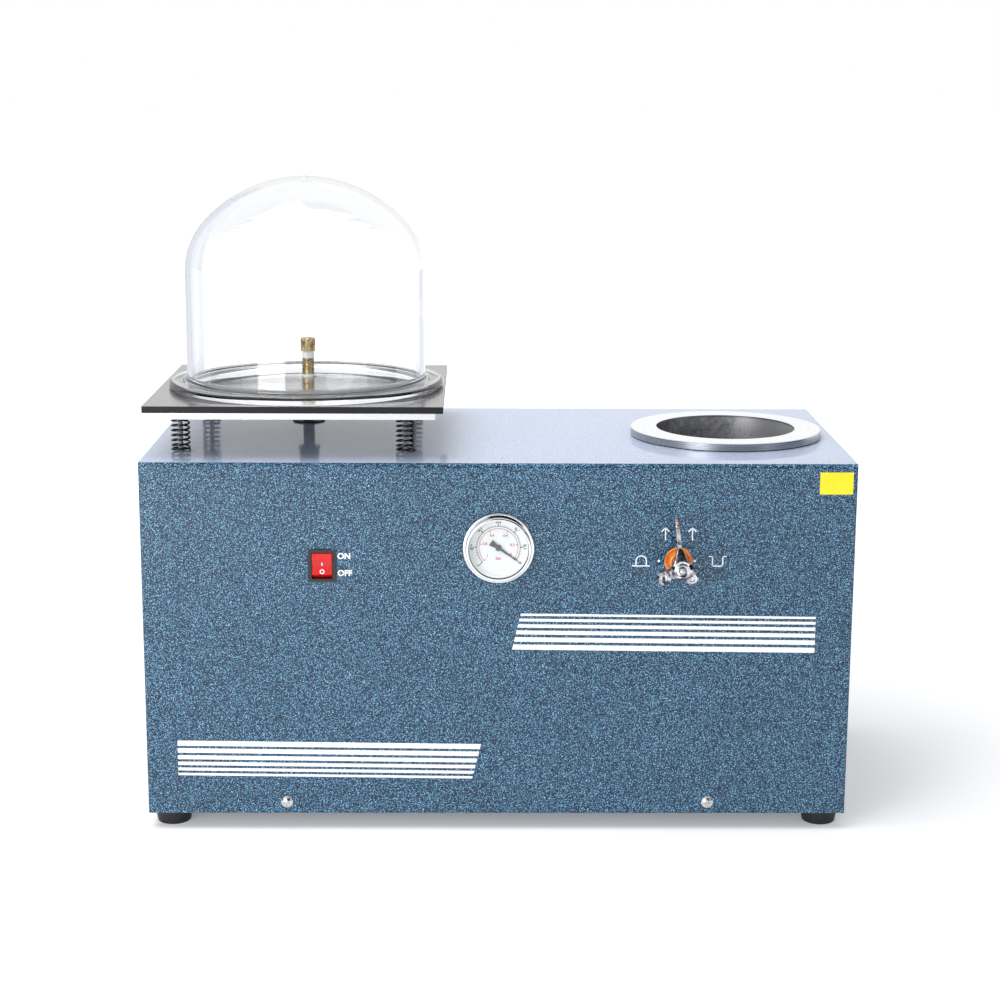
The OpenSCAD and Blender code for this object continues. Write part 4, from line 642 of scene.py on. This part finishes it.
def tube_along(points, diameter, sides):
    """A bmesh of a round bar along a path, capped at both ends."""
    bm = bmesh.new()
    rings = []
    for i, point in enumerate(points):
        before, after = points[max(i - 1, 0)], points[min(i + 1, len(points) - 1)]
        tangent = (after - before).normalized()
        side = tangent.cross(Vector((0, 0, 1))).normalized()
        up = side.cross(tangent)
        angles = (2 * math.pi * k / sides for k in range(sides))
        rings.append([bm.verts.new(point + diameter / 2 * (math.cos(a) * side + math.sin(a) * up))
                      for a in angles])
    for low, high in zip(rings, rings[1:]):
        for k in range(sides):
            bm.faces.new((low[k], low[(k + 1) % sides], high[(k + 1) % sides], high[k]))
    bm.faces.new(list(reversed(rings[0])))
    bm.faces.new(rings[-1])
    bmesh.ops.recalc_face_normals(bm, faces=bm.faces)
    return bm


def slab(bm, outline, y, thickness):
    """A flat outline of (x, z) points on the plane y, thickened towards the viewer in front."""
    front = [bm.verts.new((x, y - thickness, z)) for x, z in outline]
    back = [bm.verts.new((x, y, z)) for x, z in outline]
    bm.faces.new(front)
    bm.faces.new(list(reversed(back)))
    count = len(outline)
    for i in range(count):
        j = (i + 1) % count
        bm.faces.new((back[i], back[j], front[j], front[i]))


def arc(centre, radius, start, end, steps):
    """Points of an arc in a plane; angles in degrees."""
    angles = [math.radians(start + (end - start) * i / steps) for i in range(steps + 1)]
    return [(centre[0] + radius * math.cos(a), centre[1] + radius * math.sin(a)) for a in angles]


def curved_band(bm, centre, radius, width, start, end, steps, y):
    """A printed line of even width along an arc, on the plane y."""
    outer = arc(centre, radius + width / 2, start, end, steps)
    inner = arc(centre, radius - width / 2, start, end, steps)
    for i in range(steps):
        slab(bm, [outer[i], outer[i + 1], inner[i + 1], inner[i]], y, INK_T)


# ------------------------------------------------------------------ bell jar

JAR_WALL_R = 120.75 * MM
JAR_HEIGHT = 211 * MM
JAR_STRAIGHT = 116 * MM
JAR_SHOULDER = 75 * MM
JAR_GLASS = 5.5 * MM
JAR_FLANGE_R = 139.5 * MM
JAR_FLANGE_T = 8 * MM
AIR_FILM = 0.05 * MM    # left between the glass and the rubber, which keeps the rubber's shine


def dome(inset):
    """Profile of the jar from the top of its wall to its crown: a shoulder arc into a crown arc."""
    rise = JAR_HEIGHT - JAR_STRAIGHT
    across = JAR_WALL_R - JAR_SHOULDER
    up = rise - JAR_SHOULDER
    drop = (across ** 2 - up ** 2) / (2 * up)
    wedge = math.degrees(math.atan2(drop, across))
    shoulder = arc((across, JAR_STRAIGHT), JAR_SHOULDER - inset, 0, wedge, 28)
    crown = arc((0, JAR_STRAIGHT - drop), rise + drop - inset, wedge, 89.6, 36)
    return shoulder + crown[1:]


def bell_jar():
    base = (JAR.x, JAR.y, PAD_TOP)
    rim = JAR_FLANGE_T / 2
    fillet = 6 * MM
    profile = [(JAR_WALL_R - JAR_GLASS + 0.6 * MM, AIR_FILM), (JAR_FLANGE_R - rim, AIR_FILM)]
    profile += arc((JAR_FLANGE_R - rim, rim), rim, -84, 90, 14)
    profile += arc((JAR_WALL_R + fillet, JAR_FLANGE_T + fillet), fillet, 270, 180, 10)
    profile += dome(0)
    profile += list(reversed(dome(JAR_GLASS)))
    profile += [(JAR_WALL_R - JAR_GLASS, 3 * MM)]
    piece = add_mesh("bell_jar_glass", revolve(profile, base, 192), GLASS, "jar")
    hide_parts("bell_jar")


# ------------------------------------------------------------------ pad, springs and riser hose

# in mm: x from the standpipe, y from the pad's front edge, and the half sizes in x and y
PAD_MARKS = ((1.1, 86, 3.6, 4.0), (1.1, 165, 4.2, 2.2), (8.1, 225, 2.4, 2.5))


def pad_marks():
    """Three small dark marks of wear on the pad, in front of the standpipe."""
    bm = bmesh.new()
    pipe = middle("standpipe")
    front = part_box("table_pad")[0][1]
    sides = 20
    for x, y, half_x, half_y in PAD_MARKS:
        angles = (2 * math.pi * i / sides for i in range(sides))
        bm.faces.new([bm.verts.new((pipe.x + (x + half_x * math.cos(a)) * MM,
                                    front + (y + half_y * math.sin(a)) * MM,
                                    PAD_TOP + INK_T)) for a in angles])
    add_mesh("pad_marks", bm, INK, "table", smooth=False)


SPRING_WIRE = 2 * MM
SPRING_TURNS = 8.5
END_PITCH = 2.7 * MM      # of the closed turn at each end
HOSE_BORE = 0.574         # the riser hose's bore over its outside diameter


def squash_with_table(piece):
    """Gives the piece a mesh of its own."""
    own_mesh(piece)


def table_springs():
    """The four coil springs: a closed turn at each end and open turns between."""
    steps = 28
    for name in ("front_left", "front_right", "rear_left", "rear_right"):
        node = "spring_" + name
        low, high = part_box(node)
        centre = middle(node)
        radius = (high[0] - low[0]) / 2 - SPRING_WIRE / 2
        bottom = low[2] + SPRING_WIRE / 2
        rise = high[2] - low[2] - SPRING_WIRE
        pitch = (rise - 2 * END_PITCH) / (SPRING_TURNS - 2)
        points = []
        for i in range(int(SPRING_TURNS * steps) + 1):
            turn = i / steps
            if turn < 1:
                height = END_PITCH * turn
            elif turn < SPRING_TURNS - 1:
                height = END_PITCH + pitch * (turn - 1)
            else:
                height = rise - END_PITCH * (SPRING_TURNS - turn)
            angle = 2 * math.pi * turn
            points.append(Vector((centre.x + radius * math.cos(angle),
                                  centre.y + radius * math.sin(angle), bottom + height)))
        coil = tube_along(points, SPRING_WIRE, 12)
        piece = add_mesh("coil_" + name, coil, SPRING, "cabinet")
        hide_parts(node)
        squash_with_table(piece)


def riser_hose():
    """The short hose under the table."""
    low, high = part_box("riser_hose")
    centre = middle("riser_hose")
    outer = (high[0] - low[0]) / 2
    inner = outer * HOSE_BORE
    length = high[2] - low[2]
    foot = (centre.x, centre.y, low[2])
    hose = revolve([(inner, 0), (outer, 0), (outer, length), (inner, length)], foot, 48)
    piece = add_mesh("riser_hose_skin", hose, HOSE, "cabinet")
    piece.data.set_sharp_from_angle(angle=math.radians(35))
    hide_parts("riser_hose")
    squash_with_table(piece)


# ------------------------------------------------------------------ printed marks


def word(name, text, size, place, material, body, bold, y=PANEL_Y, spin=0.0, align="CENTER"):
    """Flat lettering on a plane that faces the front, centred on (x, z) or starting there."""
    curve = bpy.data.curves.new(name, "FONT")
    curve.body = text
    curve.size = size
    curve.align_x = align
    curve.align_y = "CENTER"
    curve.offset = bold
    curve.extrude = INK_T / 2
    source = add_object(name + "_curve", curve)
    bpy.context.view_layer.update()
    mesh = bpy.data.meshes.new_from_object(source)
    bpy.data.objects.remove(source)
    mesh.transform(Matrix.Rotation(spin, 4, "Z"))
    mesh.transform(Matrix.Translation((place[0], y - INK_T / 2, place[1]))
                   @ Matrix.Rotation(math.pi / 2, 4, "X"))
    mesh.name = name
    mesh.materials.clear()
    mesh.materials.append(material)
    piece = add_object(name, mesh)
    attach(piece, body)


def stripes(name, top, bottom, ends_top, ends_bottom, drop, thick):
    """Six white bars with slanted ends. ends are (left, right) of the first and last bar, top and
    bottom their heights at the left, drop how much lower the right-hand end lies, and thick the
    first and last bar's thickness, between which the others are spaced out evenly."""
    count = 6
    height = top - bottom
    bars = [thick[0] + (thick[1] - thick[0]) * i / (count - 1) for i in range(count)]
    gap = (height - sum(bars)) / (count - 1)
    bm = bmesh.new()
    high = top
    for bar in bars:
        low = high - bar
        outline = []
        for end, z in ((0, high), (0, low), (1, low), (1, high)):
            share = (top - z) / height
            x = ends_top[end] + (ends_bottom[end] - ends_top[end]) * share
            outline.append((x, CABINET_LOW + z - drop * end))
        slab(bm, outline, PANEL_Y, INK_T)
        high = low - gap
    add_print(name, bm, WHITE_INK, "cabinet")


def panel_marks():
    """The stripes, the yellow patch, and ON and OFF beside the switch."""
    stripes("stripes_right", *mm(204.6, 168.3), mm(22, 309), mm(13.6, 309), 2.9 * MM, mm(2.2, 5.1))
    stripes("stripes_left", *mm(74.9, 39.2), mm(-314.5, -16.3), mm(-314.5, -25), 3.3 * MM,
            mm(5.2, 2.4))
    bm = bmesh.new()
    left, right = mm(308.4, 340.4)
    low, high = 323.4 * MM + CABINET_LOW, 344.9 * MM + CABINET_LOW
    slab(bm, [(left, low), (right, low), (right, high), (left, high)], PANEL_Y, INK_T)
    add_print("corner_sticker", bm, yellow_film(), "cabinet")
    for name, text, rise in (("label_on", "ON", 9.1), ("label_off", "OFF", -7.8)):
        place = (SWITCH.x + 14.8 * MM, SWITCH.z + rise * MM)
        word(name, text, 8 * MM, place, WHITE_INK, "cabinet", 0.28 * MM,
             align="LEFT")


def stroke(bm, points, width):
    """A printed line of even width through (x, z) points, half its width longer at each end."""
    for start, end in zip(points, points[1:]):
        start, end = Vector(start), Vector(end)
        along = (end - start).normalized() * (width / 2)
        across = Vector((-along.y, along.x))
        slab(bm, [start - along - across, end + along - across,
                  end + along + across, start - along + across], PANEL_Y, INK_T)


# the valve's signs, in mm from the middle of each
SIGN_LINE = 1.1 * MM
DOME_R = 5
JAR_PLATE = ((-8, -5), (8, -5))
JAR_SIDE = ((DOME_R, -4.4), (DOME_R, -0.55))
CUP = ((-8, 4.5), (-5, 4.5), (-5, -5), (5, -5), (5, 4.5), (8, 4.5))
ARROW = (((0, -7), (0, 5)), ((-3.4, 1.4), (0, 5), (3.4, 1.4)))
# where they lie, in mm from the valve's middle
JAR_SIGN_X, CUP_SIGN_X = -36, 38
ARROW_X, ARROW_Z = 13, 28
DOTS_X, DOT_R = (-18.9, 15.8), 1.3


def valve_signs():
    """Plain signs for the valve's three places: a jar on a plate, a flanged cup, and arrows up."""
    bm = bmesh.new()

    def draw(points, x, z=0.0, mirror=1):
        stroke(bm, [(VALVE.x + (x + mirror * u) * MM, VALVE.z + (z + v) * MM) for u, v in points],
               SIGN_LINE)

    draw(JAR_PLATE, JAR_SIGN_X)
    for side in (-1, 1):
        draw(JAR_SIDE, JAR_SIGN_X, mirror=side)
    curved_band(bm, (VALVE.x + JAR_SIGN_X * MM, VALVE.z), DOME_R * MM, SIGN_LINE, 0, 180, 16,
                PANEL_Y)
    draw(CUP, CUP_SIGN_X)
    for side in (-1, 1):
        for line in ARROW:
            draw(line, side * ARROW_X, ARROW_Z)
    for x in DOTS_X:
        slab(bm, arc((VALVE.x + x * MM, VALVE.z), DOT_R * MM, 0, 345, 23), PANEL_Y, INK_T)
    add_print("valve_signs", bm, WHITE_INK, "cabinet")


ROCKER_TILT = math.radians(8)
ROCKER_PIN = (SWITCH.x, PANEL_Y + 2 * MM, SWITCH.z)
ROCKER_VALLEY = 2.8 * MM     # the V's bottom, in front of the pin
ROCKER_SLOPE = 2.6 / 8       # how far each half leans out over its height


def rocker_marks():
    """The I and O moulded in the rocker's two faces."""
    letter_i, letter_o = bmesh.new(), bmesh.new()
    slab(letter_i, [mm(-0.55, -1.9), mm(0.55, -1.9), mm(0.55, 1.9), mm(-0.55, 1.9)], 0, INK_T)
    curved_band(letter_o, (0, 0), 1.85 * MM, 0.9 * MM, 0, 360, 36, 0)
    for name, bm, up in (("mark_i", letter_i, 2.2 * MM), ("mark_o", letter_o, -5.2 * MM)):
        lean = math.copysign(math.atan(ROCKER_SLOPE), up)
        out = ROCKER_VALLEY + abs(up) * ROCKER_SLOPE
        face = Matrix.Translation((0, -out, up)) @ Matrix.Rotation(lean, 4, "X")
        tilt = Matrix.Rotation(ROCKER_TILT, 4, "X")
        bm.transform(Matrix.Translation(ROCKER_PIN) @ tilt @ face)
        add_print(name, bm, WHITE_INK, "rocker")


# ------------------------------------------------------------------ gauge dial

DIAL_Y = PANEL_Y + 2 * MM     # the floor of the dial's dish
SCALE_START, SCALE_END = -36, 223    # degrees, counted anticlockwise from the right
# (angle, number) of each number on the scale, and on the red scale inside it
NUMBERS = ((-36, "0"), (1, "0.1"), (45, "0.3"), (90, "0.5"), (135, "0.7"), (179, "0.9"), (223, "1"))
RED_NUMBERS = ((-30, "0"), (11, "0.2"), (60, "0.4"), (118, "0.6"), (164, "0.8"), (217, "1"))
RED_MAJORS = (SCALE_START, 9, 62, 117, 169, SCALE_END)


def dial_point(angle, radius):
    a = math.radians(angle)
    return (GAUGE.x + radius * math.cos(a), GAUGE.z + radius * math.sin(a))


def tick(bm, angle, inner, outer, width):
    """A short radial bar on the dial."""
    a = math.radians(angle)
    across = (-math.sin(a) * width / 2, math.cos(a) * width / 2)
    outline = []
    for radius, side in ((inner, -1), (outer, -1), (outer, 1), (inner, 1)):
        x, z = dial_point(angle, radius)
        outline.append((x + side * across[0], z + side * across[1]))
    slab(bm, outline, DIAL_Y, INK_T)


def dial_scale(name, material, majors, major, minor, minor_count, line):
    """A scale's ticks and the line along them. majors are the long ticks' angles, major their
    (inner radius, outer radius, width), minor(step) that of each short one, and line the line's
    (radius, width), all in mm."""
    bm = bmesh.new()
    for angle in majors:
        tick(bm, angle, *mm(*major))
    for step in range(1, minor_count):
        angle = SCALE_START + (SCALE_END - SCALE_START) * step / minor_count
        tick(bm, angle, *mm(*minor(step)))
    curved_band(bm, (GAUGE.x, GAUGE.z), *mm(*line), SCALE_START, SCALE_END, 90, DIAL_Y)
    add_print(name, bm, material, "cabinet")


def gauge_face():
    """The dial's two scales, their numbers and the unit."""
    dial_scale("dial_ticks", INK, [angle for angle, _ in NUMBERS],
               (20.8, 23.6, 0.8), lambda step: (20.8, 22.9 if step % 5 == 0 else 22.2, 0.3), 60,
               (20.9, 0.45))
    dial_scale("dial_red_ticks", RED_INK, RED_MAJORS,
               (16.6, 19.2, 0.7), lambda step: (17.9, 19.0, 0.28), 48, (19.0, 0.4))
    for angle, text in NUMBERS:
        word("dial_number" + text.replace(".", "_"), text, 4.4 * MM,
             dial_point(angle, 25.4 * MM), INK, "cabinet", 0.16 * MM, y=DIAL_Y,
             spin=math.radians(angle - 90) * 0.9)
    for angle, text in RED_NUMBERS:
        word("dial_inner" + text.replace(".", "_"), text, 3.6 * MM,
             dial_point(angle, 13.6 * MM), RED_INK, "cabinet", 0.08 * MM, y=DIAL_Y)
    word("dial_unit", "bar", 4.2 * MM, (GAUGE.x, GAUGE.z - 10.6 * MM), RED_INK, "cabinet",
         0.1 * MM, y=DIAL_Y)


# ------------------------------------------------------------------ camera, floor and light

CAMERA_PLACE = (-0.0220, -2.06805, 0.74465)
CAMERA_YAW = math.radians(-0.69)
CAMERA_PITCH = math.radians(12.014)
CAMERA_ROLL = math.radians(0.280)
CAMERA_LENS, SENSOR = 73.89, 36.0
FLOOR_SIZE = (60, 60)
FADE_START, FADE_END = 0.5, 2.4    # from the frame's origin, where the floor's own light grows


def camera():
    data = bpy.data.cameras.new("camera")
    data.lens = CAMERA_LENS
    data.sensor_width = SENSOR
    data.clip_end = 50
    item = add_object("camera", data)
    flat = Vector((-math.sin(CAMERA_YAW), math.cos(CAMERA_YAW), 0))
    side = Vector((math.cos(CAMERA_YAW), math.sin(CAMERA_YAW), 0))
    up = Vector((0, 0, 1))
    ahead = math.cos(CAMERA_PITCH) * flat - math.sin(CAMERA_PITCH) * up
    top = math.sin(CAMERA_PITCH) * flat + math.cos(CAMERA_PITCH) * up
    right = math.cos(CAMERA_ROLL) * side + math.sin(CAMERA_ROLL) * top
    top = -math.sin(CAMERA_ROLL) * side + math.cos(CAMERA_ROLL) * top
    axes = Matrix((right, top, -ahead)).transposed()
    item.matrix_world = Matrix.Translation(CAMERA_PLACE) @ axes.to_4x4()
    bpy.context.scene.camera = item


def seen_directly(tree):
    """1 for rays from the camera, or that a mirror or glass sends on, and 0 for all others."""
    path = tree.nodes.new("ShaderNodeLightPath")
    result = path.outputs["Is Camera Ray"]
    for name in ("Is Glossy Ray", "Is Transmission Ray"):
        node = tree.nodes.new("ShaderNodeMath")
        node.operation = "MAXIMUM"
        tree.links.new(result, node.inputs[0])
        tree.links.new(path.outputs[name], node.inputs[1])
        result = node.outputs[0]
    return result


def world(fill):
    """White where it is seen, a soft even fill where it lights."""
    item = bpy.data.worlds.new("studio")
    item.use_nodes = True
    bpy.context.scene.world = item
    tree = item.node_tree
    tree.nodes.clear()
    output = tree.nodes.new("ShaderNodeOutputWorld")
    mixed = tree.nodes.new("ShaderNodeMixShader")
    shades = []
    for strength in (fill, 1.0):
        node = tree.nodes.new("ShaderNodeBackground")
        node.inputs["Color"].default_value = (1, 1, 1, 1)
        node.inputs["Strength"].default_value = strength
        shades.append(node)
    tree.links.new(seen_directly(tree), mixed.inputs[0])
    tree.links.new(shades[0].outputs[0], mixed.inputs[1])
    tree.links.new(shades[1].outputs[0], mixed.inputs[2])
    tree.links.new(mixed.outputs[0], output.inputs[0])


def sheet(name, size):
    """A flat rectangular mesh round its own origin."""
    bm = bmesh.new()
    bmesh.ops.create_grid(bm, x_segments=1, y_segments=1, size=0.5)
    bm.transform(Matrix.Diagonal((*size, 1, 1)))
    return mesh_from(name, bm)


def floor(near, far):
    """A white floor: its diffuse part keeps the shadow, and a little of its own light, which only
    the camera, mirrors and glass see, takes it up to white. That light grows from near, round the
    machine, to far, where the lamps don't reach."""
    item = add_object("floor", sheet("floor", FLOOR_SIZE))
    m = Nodes("floor_white")
    m.set(Base_Color=(0.80, 0.81, 0.83, 1), Roughness=0.9, Specular_IOR_Level=0.1)
    distance = m.add("ShaderNodeVectorMath", operation="LENGTH")
    m.link(m.point, distance.inputs[0])
    fade = m.add("ShaderNodeMapRange", interpolation_type="SMOOTHSTEP")
    limits = {"From Min": FADE_START, "From Max": FADE_END, "To Min": near, "To Max": far}
    for name, value in limits.items():
        fade.inputs[name].default_value = value
    m.link(distance.outputs["Value"], fade.inputs["Value"])
    glow = m.add("ShaderNodeEmission")
    glow.inputs["Color"].default_value = (1, 1, 1, 1)
    shown = m.math("MULTIPLY", seen_directly(m.tree), fade.outputs["Result"])
    m.link(shown, glow.inputs["Strength"])
    both = m.add("ShaderNodeAddShader")
    m.link(m.shader.outputs[0], both.inputs[0])
    m.link(glow.outputs[0], both.inputs[1])
    m.link(both.outputs[0], m.output.inputs["Surface"])
    item.data.materials.append(m.material)


def aim(item, place, target, face):
    """Puts an item at place with its face axis turned to target."""
    item.location = place
    ahead = Vector(target) - Vector(place)
    item.rotation_euler = ahead.to_track_quat(face, "Y").to_euler()


def softbox(name, place, target, size, power, seen_by_glossy=True):
    """A rectangular soft lamp at place, turned to face target."""
    data = bpy.data.lights.new(name, "AREA")
    data.shape = "RECTANGLE"
    data.size, data.size_y = size
    data.energy = power
    item = add_object(name, data)
    aim(item, place, target, "-Z")
    item.visible_glossy = seen_by_glossy
    item.visible_camera = False


def studio_screen(name, place, target, size, grey, through_glass=False):
    """A studio screen of one even grey that only reflections see, and light through glass if asked,
    for the contrast in bright metal and along the edges of glass."""
    m = Nodes(name)
    m.set(Base_Color=rgba(0), Specular_IOR_Level=0, Emission_Color=rgba(grey),
          Emission_Strength=1.0)
    item = add_object(name, sheet(name, size))
    item.data.materials.append(m.material)
    aim(item, place, target, "Z")
    item.visible_camera = False
    item.visible_diffuse = False
    item.visible_transmission = through_glass
    item.visible_shadow = False


def lamps():
    softbox("key_left", (-1.15, -1.75, 0.55), (-0.1, 0, 0.3), (0.93, 1.1), 20)
    softbox("overhead", (-0.6, -0.4, 2.2), (0.1, 0, 0.3), (2.0, 1.8), 46, seen_by_glossy=False)
    softbox("fill_right", (1.9, -1.6, 1.1), (0.1, 0, 0.3), (1.2, 1.4), 6, seen_by_glossy=False)
    studio_screen("screen_front", (0.55, -1.62, 0.95), (0.1, 0, 0.3), (1.7, 1.5), 0.012)
    studio_screen("screen_right", (1.5, -0.3, 0.5), (0.2, 0, 0.3), (1.1, 0.9), 0.012)
    studio_screen("screen_back_left", (-0.98, 1.1, 0.7), (-0.17, 0, 0.7), (0.9, 1.6),
                  (0.83, 0.85, 0.91), through_glass=True)
    studio_screen("screen_back_right", (0.66, 1.1, 0.17), (-0.17, 0, 0.17), (0.9, 0.55),
                  (0.87, 0.90, 0.96), through_glass=True)
    studio_screen("screen_left", (-1.6, -0.35, 0.45), (0, -0.1, 0.3), (1.0, 0.9), 0.05)


def main():
    camera()
    world(0.55)
    floor(0.22, 0.9)
    lamps()
    paint_nodes()
    bell_jar()
    pad_marks()
    table_springs()
    riser_hose()
    panel_marks()
    valve_signs()
    rocker_marks()
    gauge_face()
    bpy.context.scene.view_settings.view_transform = "Standard"


main()
